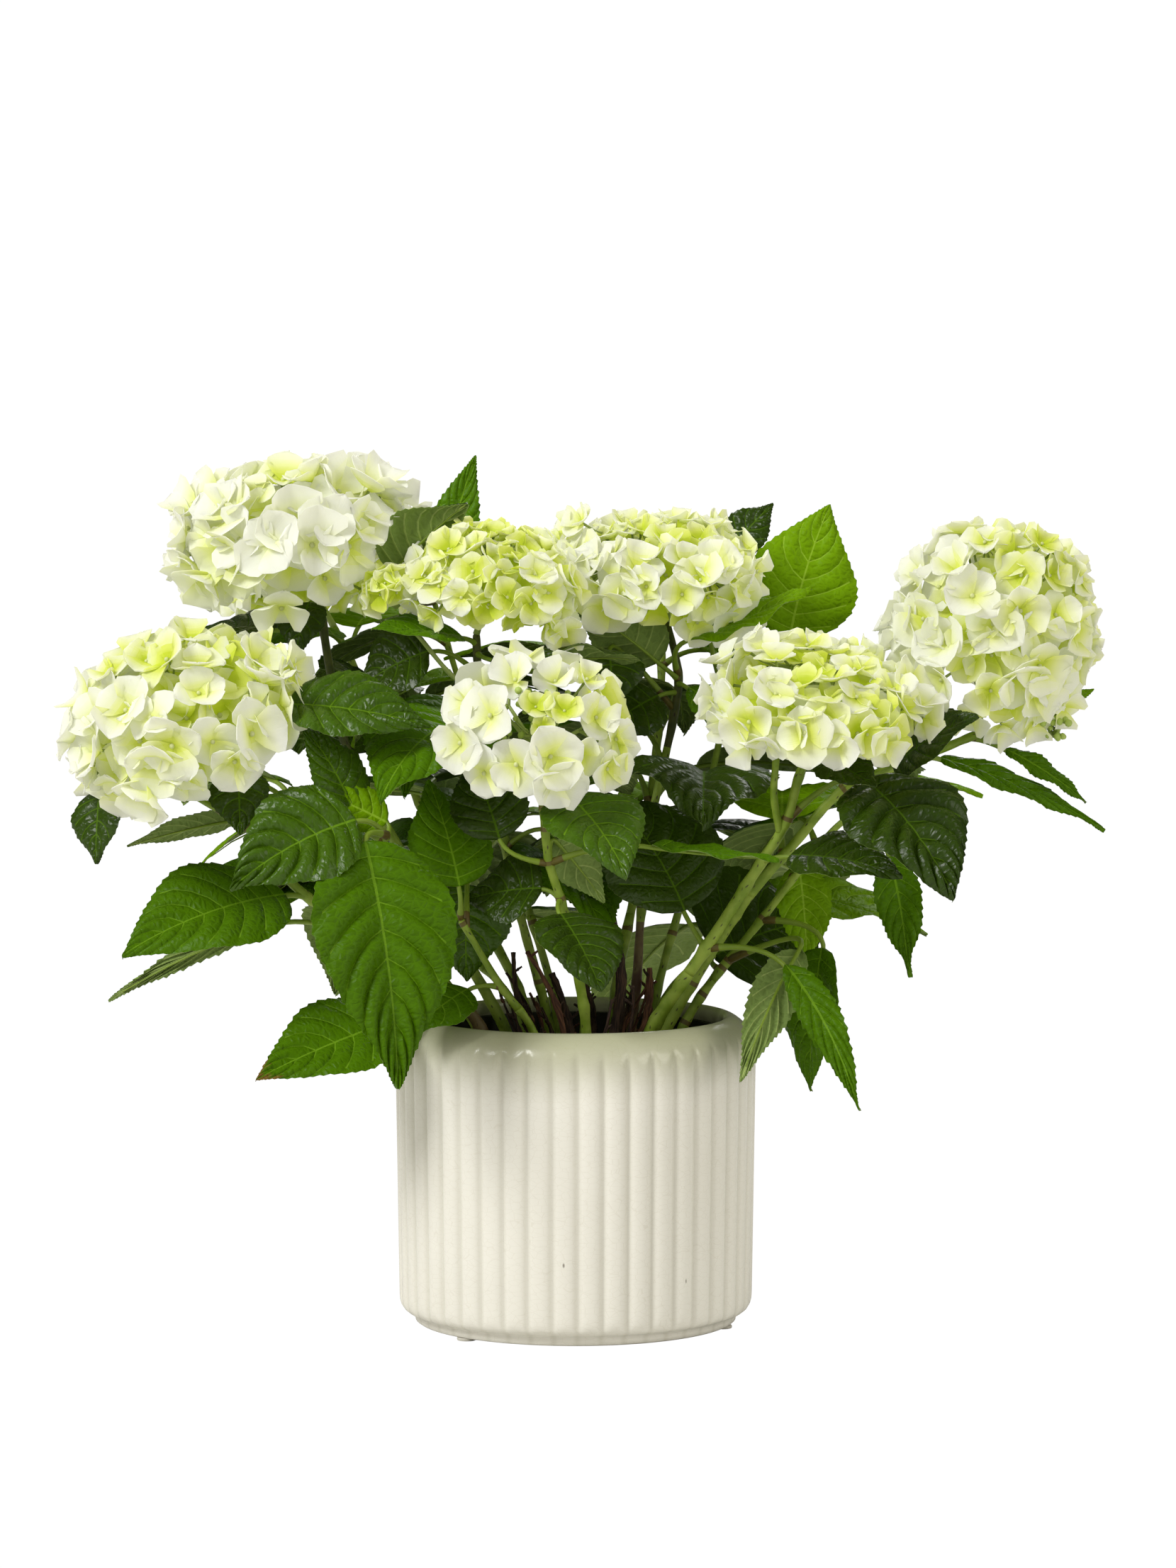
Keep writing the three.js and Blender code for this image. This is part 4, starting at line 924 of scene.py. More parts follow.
# %% [markdown]
# ## Leaf blades
# A blade is a grid whose rows don't run straight across: they leave the midrib and sweep
# forwards, as the side veins do. Six rows make up each vein's field. Two narrow strips are the
# vein itself, and the rows between are puffed up, which gives the quilted look. The margin is
# cut into teeth that point to the tip. The same grid lies again under the first and the rim
# joins them, so that each blade is a closed, thin shell.

# %% The grid of a blade
ACROSS = np.array([-1, -0.86, -0.66, -0.45, -0.23, -0.045, 0, 0.045, 0.23, 0.45, 0.66, 0.86, 1])
OFF = np.abs(ACROSS)
MIDRIB = ACROSS.size // 2
SWEEP = 1.35
ROWS_A_VEIN = 6


def blade_width(share, foot, drawn):
    """Half width of a leaf at a share of its length: broad, round at the foot, drawn out at the tip."""
    body = np.sin(np.pi * np.clip(share, 0.0002, 0.9998) ** foot) ** 0.8
    return body * (1 - drawn * np.clip((share - 0.5) / 0.45, 0, 1) ** 1.3)


def blade_grid(leaf):
    """A blade laid flat: its rows, and each point's place in its vein's field, along and across."""
    seed, long, half = leaf["seed"], leaf["long"], leaf["wide"] / 2
    veins = 6 if long < 50 else 8 if long < 100 else 9
    row = np.arange(veins * ROWS_A_VEIN + 1)[:, None]
    field, step = row // ROWS_A_VEIN, row % ROWS_A_VEIN
    narrow = 0.42 * veins / long * (1 - 0.5 * OFF)
    inner = np.choose(step, [0 * OFF, narrow, 0.27 + 0 * OFF, 0.5 + 0 * OFF, 0.73 + 0 * OFF, 1 - narrow])
    phase = inner + (step / ROWS_A_VEIN - inner) * OFF ** 14
    along = np.clip((field + phase) / veins, 0, 1) ** 1.25
    share = 1 - (1 - along) ** (1 + SWEEP * OFF * (0.4 + 0.6 * OFF))
    margin, tooth = OFF > 0.99, row % 2 == 1
    bite = (0.5 + 0.7 * np.abs(np.sin(row * 2.4 + seed))) * (long / 90) ** 0.5
    share = np.clip(share + margin * tooth * np.gradient(share, axis=0) * 0.5, 0, 1)
    foot, drawn = 0.66 + 0.07 * (chance(seed + 0.86) - 0.4), leaf.get("blunt", 0.42)
    width = blade_width(share, foot, drawn) * half + 0.3
    width = width + margin * np.where(tooth, bite, -0.2) * np.sin(np.pi * share) ** 0.4
    rib = (0.26 + 0.5 * (1 - share)) * (0.7 + long / 250)
    beside_rib = np.abs(OFF - 0.045) < 0.01
    x = np.where(beside_rib, np.sign(ACROSS) * np.minimum(rib, 0.12 * width), ACROSS * width)
    return row, phase, share, x


def blade_relief(leaf, phase, share, x):
    """How high the points stand: puffed between the veins, folded up from the midrib, wavy at the margin."""
    seed, long = leaf["seed"], leaf["long"]
    pucker = LEAF_TONES[leaf["tone"]][-1] * leaf.get("pucker", 1)
    lift = np.sin(np.pi * phase) ** 0.7 * (1 - np.exp(-(OFF / 0.14) ** 2)) * (1 - OFF ** 5 * 0.8)
    puffed = lift * 0.022 * long * pucker * np.sin(np.pi * np.clip(share, 0.02, 0.98)) ** 0.4
    folded = (0.13 + 0.14 * chance(seed + 0.87)) * np.abs(x) * (1 - 0.35 * OFF ** 2)
    waves = 2 * np.pi * (2.1 + chance(seed + 0.83)) * share + 6.28 * chance(seed + 0.82)
    swing = (0.4 + 0.9 * chance(seed + 0.81)) * 0.022 * long * OFF ** 3
    wavy = swing * np.sin(waves + np.sign(ACROSS) * 1.1)
    drooped = 0.06 * leaf["wide"] / 2 * OFF ** 4 * (0.4 + chance(seed + 0.84))
    return puffed + folded + 0.35 * (OFF < 0.02) + wavy - drooped


def blade_faces(leaf, row, share):
    """Faces of both sides and the rim, and each one's finish: blade or vein, above or below, or scorched."""
    (rows, columns), total = share.shape, share.size
    upper = grid_faces(rows, columns)
    step = row[:-1, 0] % ROWS_A_VEIN
    vein_row = np.repeat(np.isin(step, (0, ROWS_A_VEIN - 1)) & (row[:-1, 0] > 0), columns - 1)
    column = np.tile(np.arange(columns - 1), rows - 1)
    vein = (vein_row & (column > 0) & (column < columns - 2)) | np.isin(column, (MIDRIB - 1, MIDRIB))
    rim = rim_faces(rows, columns, total)
    faces = np.concatenate([upper, (upper + total)[:, UNDERNEATH], rim])
    slots = np.concatenate([vein * 1, 2 + vein * 1, np.full(len(rim), 2)])
    if "scorched" in leaf:
        ragged = np.sin(row * 2.1 + 5 * ACROSS) + np.sin(row * 0.9 - 3 * ACROSS)
        dry = np.tile((share + 0.14 * OFF + 0.05 * ragged).ravel(), 2)
        slots = np.where(dry[faces].mean(axis=1) > leaf["scorched"], 4, slots)
    return faces, slots


print("points across a blade:", ACROSS.size)


# %% One fine blade
def fine_blade(leaf):
    """Points, faces, finishes, tones and pattern places of a posed blade, then what its midrib follows."""
    row, phase, share, x = blade_grid(leaf)
    height = blade_relief(leaf, phase, share, x)
    faces, slots = blade_faces(leaf, row, share)
    seed, long = leaf["seed"], leaf["long"]

    spine = blade_line(leaf["start"], leaf)
    middle = read_off(share * SPINE_STEPS, np.arange(SPINE_STEPS + 1), spine)
    pitch = leaf["rise"] + leaf["bend"] * (0.5 - share)
    ways, up = direction(leaf["heading"], pitch), direction(leaf["heading"], pitch + 90)
    beside = np.cross(ways, up)
    twist = leaf.get("twist", 16 * (chance(seed + 0.85) - 0.5))
    roll = np.radians(leaf["roll"] + twist * (share - 0.4))[..., None]
    up, beside = np.cos(roll) * up + np.sin(roll) * beside, np.cos(roll) * beside - np.sin(roll) * up
    top = middle + beside * x[..., None] + up * height[..., None]

    thick = (0.32 + 0.5 * np.exp(-(OFF / 0.07) ** 2) * (1 - share)) * (0.6 + long / 300)
    down = unit(np.cross(np.gradient(top, axis=0), np.gradient(top, axis=1)))
    down = np.where(np.sum(down * up, axis=-1, keepdims=True) > 0, -down, down)
    under = top + down * thick[..., None]
    points = np.concatenate([top.reshape(-1, 3), under.reshape(-1, 3)])
    # A leaf's tone differs at random, and is raised towards the midrib near its foot as a painted sheen
    tone = np.clip(0.5 + 0.5 * (chance(seed + 0.9) - 0.5) + 0.22 * (1 - OFF) * (1 - share), 0, 1)
    flat = np.stack([x, share * long], axis=-1).reshape(-1, 2) * MM + 0.37 * chance(seed + 0.91)
    return points, faces, slots, np.tile(tone.ravel(), 2), np.tile(flat, (2, 1)), (middle, -up, share)


print("faces of one large blade:", len(fine_blade(leaves[5])[1]))

# %% Blades and stalks
STALK_RADII = [2.6, 2.2, 1.8, 1.62, 1.55, 1.5, 1.5, 1.45]
MIDRIB_SHARES = np.array([0.03, 0.1, 0.2, 0.32, 0.46, 0.6, 0.75, 0.9])
blades = {key: Gathering() for key in LEAF_TONES}
stalks = Gathering()
for leaf in leaves:
    points, faces, slots, tone, flat, (middle, down, share) = fine_blade(leaf)
    blades[leaf["tone"]].add(points, faces, slots, tone, flat)
    # The stalk bends into the blade and runs on under it as its midrib.
    into = direction(leaf["heading"], leaf["rise"] + leaf["bend"] / 2)
    size = 0.75 + leaf["long"] / 400
    rib, away = (read_off(MIDRIB_SHARES, share[:, MIDRIB], side[:, MIDRIB]) for side in (middle, down))
    rib = rib + away * ((1.5 - MIDRIB_SHARES) * size)[:, None]
    stalk = arc(leaf["root"], leaf["start"] - into * 0.4 * leaf["reach"], rib[0], len(STALK_RADII) + 1)[:-1]
    radii = np.concatenate([STALK_RADII, np.linspace(1.35, 0.25, len(rib))]) * size
    points, faces, flat = tube(np.vstack([stalk, rib]), radii, 8)
    ring = np.arange(len(faces)) // 8
    stalks.add(points, faces, np.where(ring < 1, 1, 0), flat=flat)

leaf_nodes = [f"leaves_{name}" for name in SHOOTS]
for key, gathering in blades.items():
    finishes = [blade_tops[key], blade_veins[key], blade_under, under_vein, scorched]
    gathering.make(f"leaves_{LEAF_TONES[key][0]}", finishes, "leaf", leaf_nodes)
stalks.make("leaf_stalks", [leaf_stalk, joint_red], "leaf", leaf_nodes, smooth=180)

# %% [markdown]
# ## Stems and twigs
# A stem tapers evenly but is never a plain cone: it thickens at each joint, where a pair of
# leaves stands or stood, and its skin is uneven. Each shoot is one tube of many rings whose
# radius follows those joints.

# %% Stems and twigs
def joints_of(name):
    """Places of the joints along a shoot: at its leaves, and at even steps below them."""
    shoot = SHOOTS[name]
    held = [place for place, *_ in (*shoot.get("posed", ()), *shoot.get("ruled", ())) if place <= 1]
    return sorted(set(round(place, 2) for place in held + [min(held) * 0.36, min(held) * 0.7]))


SLIM = 0.68


def grow_limb(gathering, line, start, end, thick, thin, joints, woody=0.0, seed=0.0, sides=14, dark=1.0):
    share = np.linspace(start, end, max(8, int(line.length * (end - start) / 2.6)))
    path = line.at(share)
    radii = SLIM * (thick + (thin - thick) * share)
    if end == 1:
        # The last two millimetres round off.
        past = np.maximum((share - 1) * line.length + 2, 0)
        radii = radii * np.sqrt(np.clip(1 - (past / 2.05) ** 2, 0, 1))
    swell = sum((np.exp(-((share - joint) * line.length / 4.2) ** 2) for joint in joints), 0 * share)
    radii = radii * (1 + 0.2 * np.minimum(swell, 1)) * (1 - 0.03 * np.sin(share * line.length / 7 + seed))
    points, faces, flat = tube(path, radii, sides)
    body = points[:-2].reshape(len(path), sides, 3)
    for index, ring in enumerate(body):
        for column, point in enumerate(ring):
            lump = noise.noise(Vector(point * (0.16, 0.16, 0.1)) + Vector((seed, 0, 0)))
            body[index, column] = point + (point - path[index]) * 0.10 * lump
    points[:-2] = body.reshape(-1, 3)
    ring = np.minimum(np.arange(len(faces)) // sides, len(path) - 2)
    slots = np.where(np.minimum(swell, 1)[ring] > 0.985, 1, 0)
    slots = np.where(share[ring] < woody, 2, np.where(share[ring] > dark, 3, slots))
    gathering.add(points, faces, slots, flat=flat)


stems, twigs = Gathering(), Gathering()
for number, (name, shoot) in enumerate(SHOOTS.items()):
    line, bare, foot, tip = lines[name], shoot["bare"], shoot["foot"], shoot["tip"]
    joints, woody, dark = joints_of(name), shoot.get("woody", 0.0), shoot.get("dark", 1.0)
    grow_limb(stems, line, 0, bare, foot, tip, joints, woody, number)
    grow_limb(twigs, line, bare, 1, foot, tip, joints, woody, number, dark=dark)
    if name in side_lines:
        grow_limb(twigs, side_lines[name], 0, 1, tip, tip * 0.75, [0.97], 0, number + 0.5, sides=12)
limb_finishes = [green_stem, joint_red, brown_stem, dark_stem]
stems.make("green_stems", limb_finishes, "green_stem", [f"stem_{name}" for name in SHOOTS], smooth=180)
twigs.make("green_twigs", limb_finishes, "green_stem", leaf_nodes, smooth=180)

# %% [markdown]
# ## Old stubs
# Where earlier stems were cut, dark wood stays behind: knobbly, peeling and split at the top. The
# tubes get strong noise, and thin dead twigs stand between them.

# %% Old stubs
DEAD_TWIGS = 26
stubs = Gathering()
snags = list(STUBS)
for twig in range(DEAD_TWIGS):
    heading, out = 360 * chance(twig + 0.11), 12 + 22 * chance(twig + 0.21)
    foot = out * direction(heading, 0)[:2] + (2, -2)
    lean = direction(heading + 60 * (chance(twig + 0.31) - 0.5), 66)
    top = np.array([*foot, COMPOST_TOP]) + lean * (16 + 40 * chance(twig + 0.41))
    snags.append((tuple(foot), tuple(top), 0.9 + 1.0 * chance(twig + 0.51)))
snags = [(np.array([*foot, COMPOST_TOP - 2.0]), np.array(top, float), radius) for foot, top, radius in snags]
main_snags = len(snags)
for number, (foot, top, radius) in enumerate(snags):
    share = np.linspace(0, 1, 22)[:, None]
    bow = 0.09 * np.linalg.norm(top - foot) * direction(360 * chance(number + 0.6), 10)
    path = foot + (top - foot) * share + np.sin(np.pi * share) * bow
    for spur in range(2 if number < main_snags else 0):
        start = path[10 + int(11 * chance(number + spur * 0.3))]
        end = start + direction(360 * chance(number + spur * 0.7), 38) * (4 + 7 * chance(number + 0.2 + spur))
        snags.append((start, end, 0.9))
    knobs = 1 + 0.10 * np.sin(share[:, 0] * 13 + number) + 0.25 * np.exp(-((share[:, 0] - 0.55) / 0.05) ** 2)
    points, faces, flat = tube(path, min(radius, 0.8 + radius * 0.5) * knobs * (1 - 0.35 * share[:, 0]), 12)
    for index, point in enumerate(points):
        lump = 0.8 * noise.noise(Vector(point) * 0.5) + 0.8 * noise.noise(Vector(point) * 1.3)
        nearest = path[min(index // 12, 21)]
        points[index] = point + (point - nearest) * 0.4 * lump
    stubs.add(points, faces, number % 3 == 1, flat=flat)
stub_nodes = [f"old_stub_{index + 1}" for index in range(len(STUBS))]
stubs.make("old_stubs", [old_wood, red_wood], "old_wood", stub_nodes, smooth=50)

# %% [markdown]
# ## Petal finishes
# The florets open lime green and fade to a creamy white from their edges inwards, so one head
# holds many tints. Six plain tints, from lime to white, are dealt out by petal zone, by floret
# and by head. The greener ones also serve as painted shade: at the foot of each sepal, on florets
# deep in a head, and on florets that face down or away from the window lamp. Each is matt with a
# soft, slightly see-through body, and glows faintly in its own tint, a painted glow that stands
# for light shining through the thin sepals.

# %% Petal finishes
TINTS = [(0.42, 0.54, 0.012, 1), (0.55, 0.64, 0.045, 1), (0.67, 0.73, 0.17, 1), (0.74, 0.78, 0.40, 1),
         (0.76, 0.78, 0.585, 1), (0.765, 0.775, 0.69, 1)]
WHITEST = len(TINTS) - 1


def between(one, other):
    return tuple((a + b) / 2 for a, b in zip(one, other))


def petal_finish(number, colour):
    """One tint. Its tone runs half a step down and up, so that neighbouring tints meet without an edge."""
    finish = Finish(f"petal_{number}")
    grain = finish.speckle(finish.place(), 120, 3)
    veins = finish.speckle(finish.stretched(finish.pattern(), (1500, 160, 1)), 1.0, 2)
    greener, paler = (between(TINTS[step], colour) for step in (max(number - 1, 0), min(number + 1, WHITEST)))
    body = finish.mix(finish.attribute("tone") - number + 0.25 + grain * 0.5, greener, paler)
    lined = finish.mix(finish.step(veins, 0.55, 0.75) * 0.10, body, shade(colour, 0.82))
    # The faint emission in the petal's own tint is a painted glow, standing for light that shines through the
    # thin sepals
    return finish.wear(Base_Color=lined, Roughness=0.55, Normal=finish.bump(veins, 0.0003, 0.35),
                       Subsurface_Weight=0.5, Subsurface_Radius=(1.0, 1.0, 0.7), Subsurface_Scale=0.003,
                       Emission_Color=lined, Emission_Strength=0.13, Specular_IOR_Level=0.2)


petal_tints = [petal_finish(number, colour) for number, colour in enumerate(TINTS)]
pedicel = stalk_finish("pedicel", (0.30, 0.40, 0.09, 1), (0.42, 0.50, 0.18, 1))
bead = stalk_finish("bead", (0.55, 0.60, 0.25, 1), (0.68, 0.72, 0.38, 1))
bud_green = stalk_finish("bud_green", (0.34, 0.48, 0.08, 1), (0.48, 0.60, 0.15, 1))
print("petal tints:", len(petal_tints))

# %% [markdown]
# ## Flower heads
# A mop head is a dome of florets. The peduncle splits into rays, each ray into thin pedicels, and
# each pedicel carries one floret of four broad sepals round a bead. Florets are dealt out along a
# golden-angle spiral, as seeds are on a sunflower, which fills a dome evenly with no rows.

# %% Head plan
# middle, width, height, lean, florets, floret radius within and at the rim, tint within and at the rim
# more florets of their own: across, up, how far in front of the middle, radius, tint
# buds: across, up, ahead, spread across, spread up, how many
# Sides that are bare: heading, rise and how many degrees about that each reaches.
# The centre head is half open: its own florets stand in a ring round small green ones and buds.
HEADS = {
    "side": dict(
        at=(-108, -38, 428), wide=42, tall=36, lean=(180, 30), count=13, radii=(8, 10), tints=(1, 3),
        stalk=[(-54.5, -16.7, 368), (-70, -25, 378), (-90, -32, 402), (-102, -36, 416)]),
    "left_tall": dict(
        at=(-160, 10, 459), wide=156, tall=102, lean=(195, 12), count=84, radii=(17, 20),
        tints=(3.1, 4.9), inset=(20, 16), shift=(-5, -3),
        bare=[(0, -50, 58)], more=[(-8, -40, 44, 18, 4.6), (16, -24, 40, 17, 4.2)]),
    "left_low": dict(
        at=(-220, -60, 356), wide=148, tall=114, lean=(215, 24), count=88, radii=(14.5, 18.5),
        tints=(2.6, 4.4), inset=(14, 14)),
    "mid_left": dict(
        at=(-49, -20, 436), wide=112, tall=76, lean=(-60, 8), count=92, radii=(9.5, 12.5),
        tints=(2.1, 3.6), inset=(11, 11), shift=(0, -6),
        more=[(42, -33, 14, 14, 3.6), (32, -27, 20, 12, 3.2)]),
    "mid_right": dict(
        at=(54, 40, 442), wide=130, tall=80, lean=(-90, 8), count=84, radii=(12, 15.5), tints=(2.6, 4.2),
        inset=(9, 14), shift=(-6, -8),
        more=[(-58, 18, 0, 13, 3.8), (-64, 8, 0, 12, 3.6), (-50, 22, 8, 13, 4), (34, -36, 22, 15, 4.2),
              (46, -30, 8, 14, 4), (16, -34, 30, 14, 4)]),
    "centre": dict(
        at=(-21, -110, 352), wide=116, tall=70, lean=(-90, 46), count=20, radii=(13, 17), tints=(3, 4.4),
        more=[(-12, 29, 8, 16, 4.6), (10, 28, 4, 15, 4.6), (27, 29, 0, 13, 3.8), (32, 9, 14, 15, 4),
              (43, -3, 10, 15, 4.6), (38, -19, 14, 14, 4), (-25, 11, 26, 18, 4.8), (-42, -5, 10, 18, 4.8),
              (-29, -21, 18, 16, 4.8), (-11, -15, 32, 18, 4.6), (7, -11, 34, 18, 4.4),
              (10, -25, 28, 17, 5), (-1, 15, 20, 10, 2.6), (15, 13, 22, 11, 2.4), (-38, 17, 8, 16, 4.6),
              (23, -10, 22, 13, 3.6), (3, 4, 26, 8, 2.2)],
        buds=[(-3, 10, 14, 50, 30, 60)]),
    "right_front": dict(
        at=(143, -60, 370), wide=146, tall=80, lean=(-60, 20), count=82, radii=(12.5, 16.5),
        tints=(2.5, 4.3), inset=(15, 16), shift=(-5, -5),
        bare=[(-60, -72, 46), (-8, -36, 30), (190, 38, 24)],
        more=[(-46, -25, 34, 15, 4.6), (-22, -20, 46, 15, 4.2), (20, -19, 46, 14, 3.6),
              (30, -25, 40, 14, 3.8), (-60, -12, 20, 14, 4.4)]),
    "right_far": dict(
        at=(242, 10, 404), wide=126, tall=138, lean=(-30, 25), count=104, radii=(13, 16.5),
        tints=(2.6, 4.4), inset=(13, 8), shift=(0, -3),
        more=[(-14, -50, 20, 14, 4), (4, -55, 14, 14, 4.2), (23, -54, 10, 14, 4), (39, -45, 6, 14, 3.8)],
        buds=[(36, -57, 4, 16, 13, 36)]),
    "back_left": dict(
        at=(-160, 138, 432), wide=108, tall=76, lean=(120, 20), count=54, radii=(14, 16.5),
        tints=(2.4, 4.2)),
    "back_right": dict(
        at=(52, 150, 424), wide=104, tall=74, lean=(80, 15), count=54, radii=(13, 16), tints=(2.4, 4.2)),
}
REACH = math.radians(118)
GOLDEN = math.pi * (3 - math.sqrt(5))
print("florets:", sum(head["count"] + len(head.get("more", ())) for head in HEADS.values()))

# %% One sepal and one floret
# share of the sepal's length, half its width there (a narrow claw, a broad body, a blunt point), and
# how much greener or paler it is there: greener at the claw, partly as the sepal's own colour and
# partly as painted shade deep in the floret
SEPAL = np.array([(0.04, 0.10, -3.1), (0.24, 0.37, -2.3), (0.47, 0.56, -1.1), (0.69, 0.55, -0.2),
                  (0.88, 0.33, 0.3), (1.0, 0.04, 0.5)])
BESIDE = np.array([-1, -0.52, 0, 0.52, 1])


def add_floret(gathering, middle, outward, spin, radius, tint, seed, cup):
    """Four sepals in two pairs, the second pair above the first. A cup of 0 is flat, and 1 is a bowl."""
    steady = np.eye(3)[np.argmin(np.abs(outward))]
    first = unit(steady - outward * (outward @ steady))
    second = np.cross(outward, first)
    share, half, pale = SEPAL[:, :1], SEPAL[:, 1:2], SEPAL[:, 2:]
    rows, columns = len(SEPAL), len(BESIDE)
    for leaf in range(4):
        luck = [chance(seed + 0.1 * part + leaf) - 0.5 for part in range(7)]
        steep = cup * 1.05 + 0.6 * luck[0]
        y = half * BESIDE * (1 + 0.3 * luck[1])
        curve = share ** 1.6 * (0.30 + 0.3 * luck[2]) * (0.4 + cup)
        x = share * math.cos(steep) + curve * math.sin(steep) * 0.6 - 0.12 * y ** 2
        z = share * math.sin(steep) - curve * math.cos(steep) * 0.6 + (0.7 + 1.5 * luck[3]) * y ** 2
        z = z + 0.05 * (leaf % 2) + 0.10 * luck[4] * np.sin(4 * BESIDE + 3 * share) * share
        size = radius * (1.04 + 0.3 * luck[5])
        turn = spin + leaf * math.pi / 2 + 0.22 * luck[6]
        ahead = math.cos(turn) * first + math.sin(turn) * second
        shape = np.stack(np.broadcast_arrays(x, y, z), axis=-1) * size
        top = (middle + shape @ np.stack([ahead, np.cross(outward, ahead), outward])).reshape(-1, 3)
        under = top - (outward * math.cos(steep) - ahead * math.sin(steep)) * 0.32
        total = rows * columns
        faces = np.concatenate([grid_faces(rows, columns)[:, UNDERNEATH], grid_faces(rows, columns) + total,
                                rim_faces(rows, columns, total)[:, ::-1]])
        tone = np.clip(tint + pale + 0.35 * BESIDE ** 2 + 0.5 * luck[0], 0, WHITEST).ravel()
        slots = np.tile(tone, 2)[faces].mean(axis=1).round().astype(int)
        flat = np.stack(np.broadcast_arrays(y, share), axis=-1).reshape(-1, 2) * size * MM
        gathering.add(np.concatenate([top, under]), faces, slots, np.tile(tone, 2),
                      np.tile(flat, (2, 1)) + seed * 0.013)


BEAD_LEANS = (0.06, 0.8, 1.57, 2.34, 3.08)


def add_bead(gathering, middle, radius, slot):
    headings = np.arange(6) * 60
    rings = [middle + radius * direction(headings, 90 - math.degrees(lean)) for lean in BEAD_LEANS]
    index = np.arange(6)
    step = np.roll(index, -1)
    band = np.stack([index, index + 6, step + 6, step], axis=1)
    ends = [[0, 1, 2, 3], [0, 3, 4, 5], [27, 26, 25, 24], [29, 28, 27, 24]]
    gathering.add(np.concatenate(rings), np.concatenate([band + 6 * row for row in range(4)] + [ends]), slot)


print("points on one sepal:", 2 * len(SEPAL) * len(BESIDE))

# %% Deal out the florets of one head
def crown_of(head):
    """The way a head faces: upright, but for its lean."""
    heading, tilt = head["lean"]
    return direction(heading, 90 - tilt)


def on_dome(head, index, count, reach, start=0.0):
    """One of many evenly dealt spots on a head: how far aside and along its crown, and its fall from that."""
    crown = crown_of(head)
    first = unit(np.array([0, 1, 0]) - crown * crown[1])
    turn = index * GOLDEN + start
    fall = math.acos(1 - (1 - math.cos(reach)) * (index + 0.5) / count)
    way = first * math.cos(turn) + np.cross(crown, first) * math.sin(turn)
    return way * math.sin(fall), crown * math.cos(fall), fall


def dealt_florets(name, head):
    """Place, way out, radius, tint, cup and seed of each floret."""
    (less_wide, less_tall), (right, up) = head.get("inset", (11, 10)), head.get("shift", (0, 0))
    level, upright = head["wide"] / 2 - less_wide, head["tall"] / 2 - less_tall
    middle = np.array(head["at"], float) + (right, 0, up)
    for index in range(head["count"]):
        seed = head["wide"] * 10 + index
        luck = [chance(seed + 0.01 * part + 0.3) for part in range(9)]
        aside, along, fall = on_dome(head, index, head["count"], REACH)
        if name == "centre" and (fall < 1.15 or aside[2] < -0.2):
            continue
        bare = head.get("bare", ())
        if any((aside + along) @ direction(*aim) > math.cos(math.radians(spread)) for *aim, spread in bare):
            continue
        within = luck[0] < 0.3
        lobes = 1 + 0.10 * noise.noise(Vector(aside + along) * 1.7 + Vector((seed // 100, 4, 7)))
        depth = (0.76 + 0.1 * luck[1] if within else 0.94 + 0.13 * luck[1]) * lobes
        spot = middle + (aside * level + along * upright) * depth
        outward = unit(unit(aside / level + along / upright) + 0.85 * (np.array(luck[2:5]) - 0.5))
        radius, tint = (np.interp(fall / 1.2, (0, 1), head[kind]) for kind in ("radii", "tints"))
        radius = radius * (0.86 + 0.26 * luck[5])
        # Painted shade and light in the tint: greener on florets that sit deep in the head and on those that
        # face down, paler facing left towards the window lamp and greener facing right, away from it. The
        # rest differs at random.
        tint = tint + 1.3 * (luck[6] - 0.5) - 1.5 * within - 0.5 * outward[0] - 0.5 * max(0, -outward[2])
        yield spot, outward, radius, tint, 0.15 + 0.75 * luck[7] ** 1.5, seed
    for index, (across, up, ahead, radius, tint) in enumerate(head.get("more", ())):
        luck = [chance(index * 3.7 + head["wide"] + part) - 0.5 for part in range(4)]
        spot = np.array(head["at"]) + (across, -ahead, up)
        outward = unit(np.array([across / 50, -1.0, (up + 4) / 42]) + 0.5 * np.array(luck[:3]))
        yield spot, outward, radius, tint, 0.35 + 0.5 * luck[3] + (0.3 if radius < 13 else 0), 7000 + index


print("florets of the mid left head:", len(list(dealt_florets("mid_left", HEADS["mid_left"]))))

# %% Grow the heads
GROUPS = {"left": ("left_tall", "left_low", "back_left", "side"),
          "middle": ("mid_left", "mid_right", "centre"),
          "right": ("right_front", "right_far", "back_right")}
blossoms = {group: Gathering() for group in GROUPS}
RAYS_A_HEAD = 14
RAY_RADII, PEDICEL_RADII = (1.6, 1.475, 1.35, 1.225, 1.1), (0.85, 0.7, 0.65, 0.9)
rays = Gathering()


def add_tube(path, radii, sides):
    points, faces, flat = tube(path, radii, sides)
    rays.add(points, faces, 0, flat=flat)


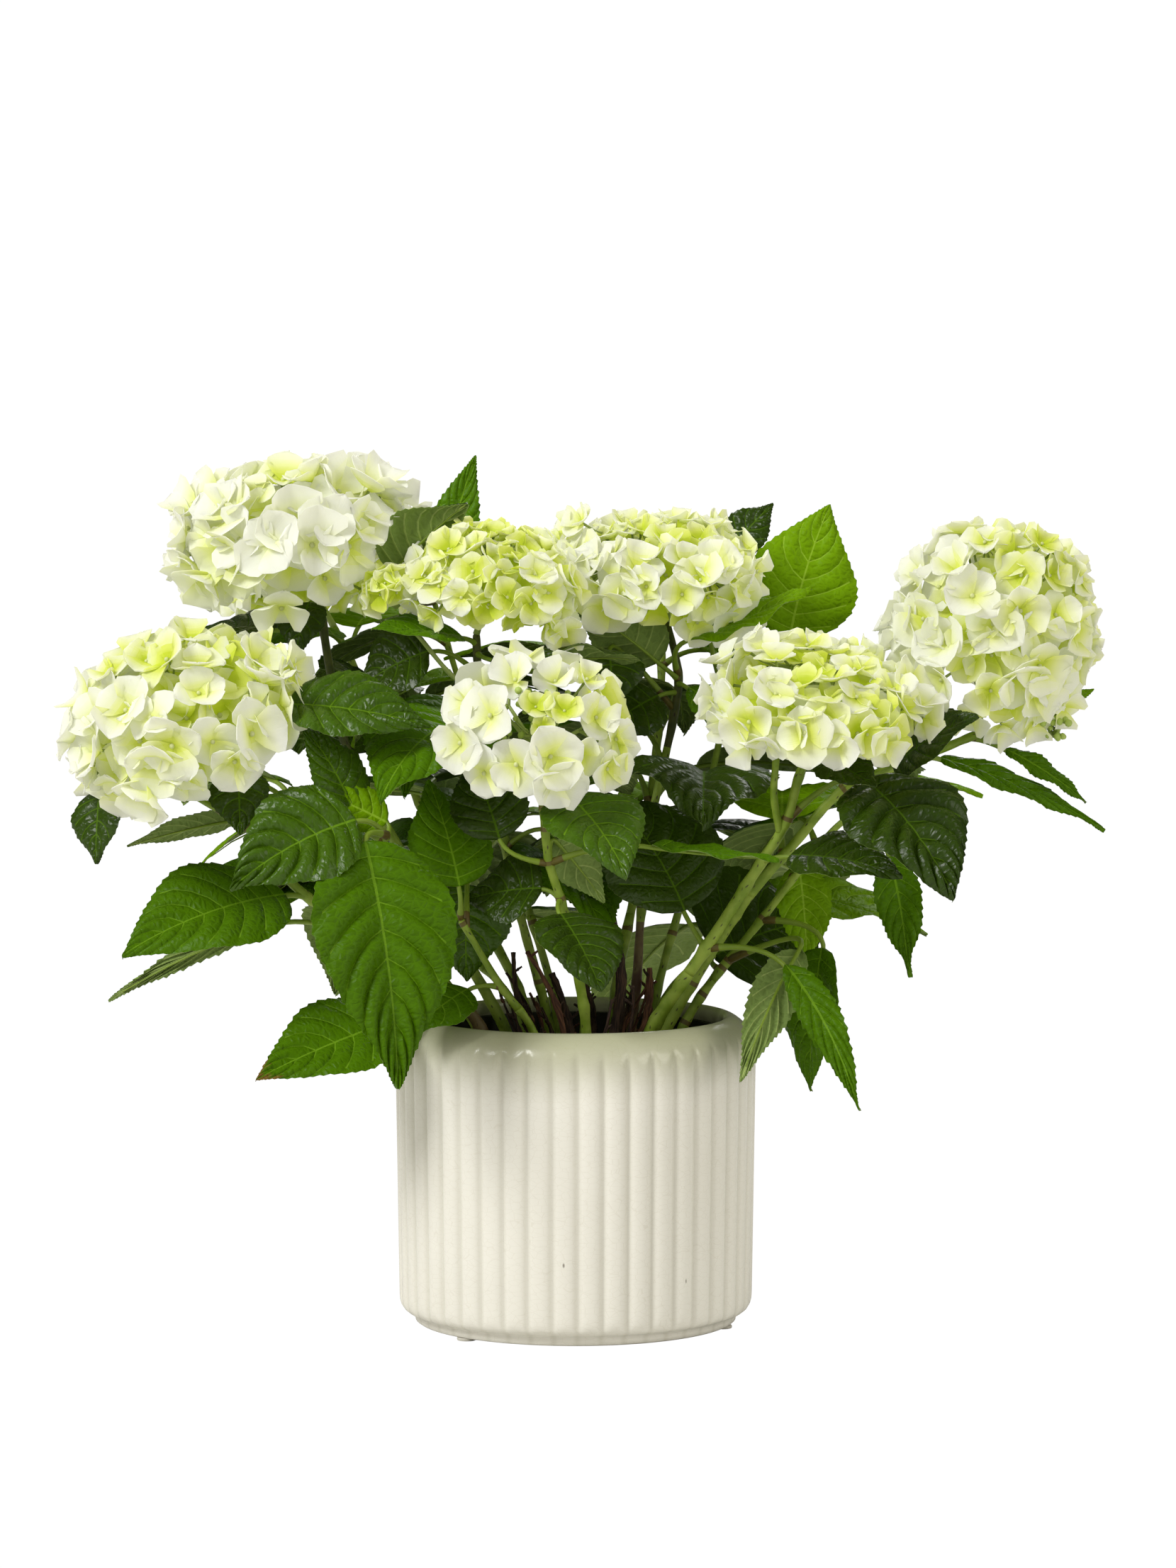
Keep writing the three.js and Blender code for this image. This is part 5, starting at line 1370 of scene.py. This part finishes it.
def grow_peduncle(name, head, top):
    """The stalk that carries a head, up to the hub where its rays part."""
    if "stalk" in head:
        line = Line(head["stalk"] + [head["at"]])
        grow_limb(rays, line, 0.0, 0.72, 2.2, 1.9, [], 0, 3, sides=10)
        return line.at(0.72) + (top - line.at(0.72)) * 0.6
    foot, tip = lines[name].at(1.0) - lines[name].way(0.99) * 2, SHOOTS[name]["tip"] * SLIM
    hub = foot + (top - foot) * 0.6
    add_tube(np.linspace(foot, hub, 6), np.linspace(tip, tip * 0.7, 6), 12)
    return hub


def grow_rays(head, middle, level, upright, hub, spots):
    """Rays reach towards groups of florets, and pedicels run from the rays to each floret."""
    forks = []
    for ray in range(RAYS_A_HEAD):
        aside, along, _ = on_dome(head, ray, RAYS_A_HEAD, REACH * 0.95, 0.4)
        forks.append(middle + (aside * level + along * upright) * 0.5)
        bend = (hub + forks[-1]) / 2 + crown_of(head) * 2
        add_tube(arc(hub, bend, forks[-1], len(RAY_RADII)), RAY_RADII, 6)
    for spot, outward in spots:
        fork = min(forks, key=lambda place: np.linalg.norm(place - spot))
        bend = spot - outward * 0.4 * np.linalg.norm(spot - fork)
        add_tube(arc(fork, bend, spot, len(PEDICEL_RADII)), PEDICEL_RADII, 4)


for group, members in GROUPS.items():
    for name in members:
        head = HEADS[name]
        middle = np.array(head["at"], float)
        level, upright = head["wide"] / 2 - 10, head["tall"] / 2 - 8
        hub = grow_peduncle(name, head, middle - crown_of(head) * upright * 0.35)
        spots = []
        for spot, outward, radius, tint, cup, seed in dealt_florets(name, head):
            spin = math.tau * chance(seed + 0.5)
            add_floret(blossoms[group], spot, outward, spin, radius, tint, seed, cup)
            add_bead(rays, spot + outward * 0.10 * radius, 0.085 * radius, 1)
            spots.append((spot, outward))
        for across, up, ahead, broad, high, count in head.get("buds", ()):
            for bud in range(count):
                aside = np.array([chance(bud + part) - 0.5 for part in (0.1, 0.2, 0.3)]) * (broad, 14, high)
                spot = middle + (across, -ahead, up) + aside
                add_bead(rays, spot, 1.4 + 0.9 * chance(bud + 0.4), 3)
                spots.append((spot, unit(np.array([0, -1, 0.6]))))
        grow_rays(head, middle, level, upright, hub, spots)
for group, gathering in blossoms.items():
    group_nodes = [f"head_{name}" for name in GROUPS[group]]
    gathering.make(f"petals_{group}", petal_tints, "petal", group_nodes, smooth=75)
head_nodes = [f"head_{name}" for name in HEADS]
rays.make("flower_stalks", [pedicel, bead, brown_stem, bud_green], "petal", head_nodes, smooth=180)
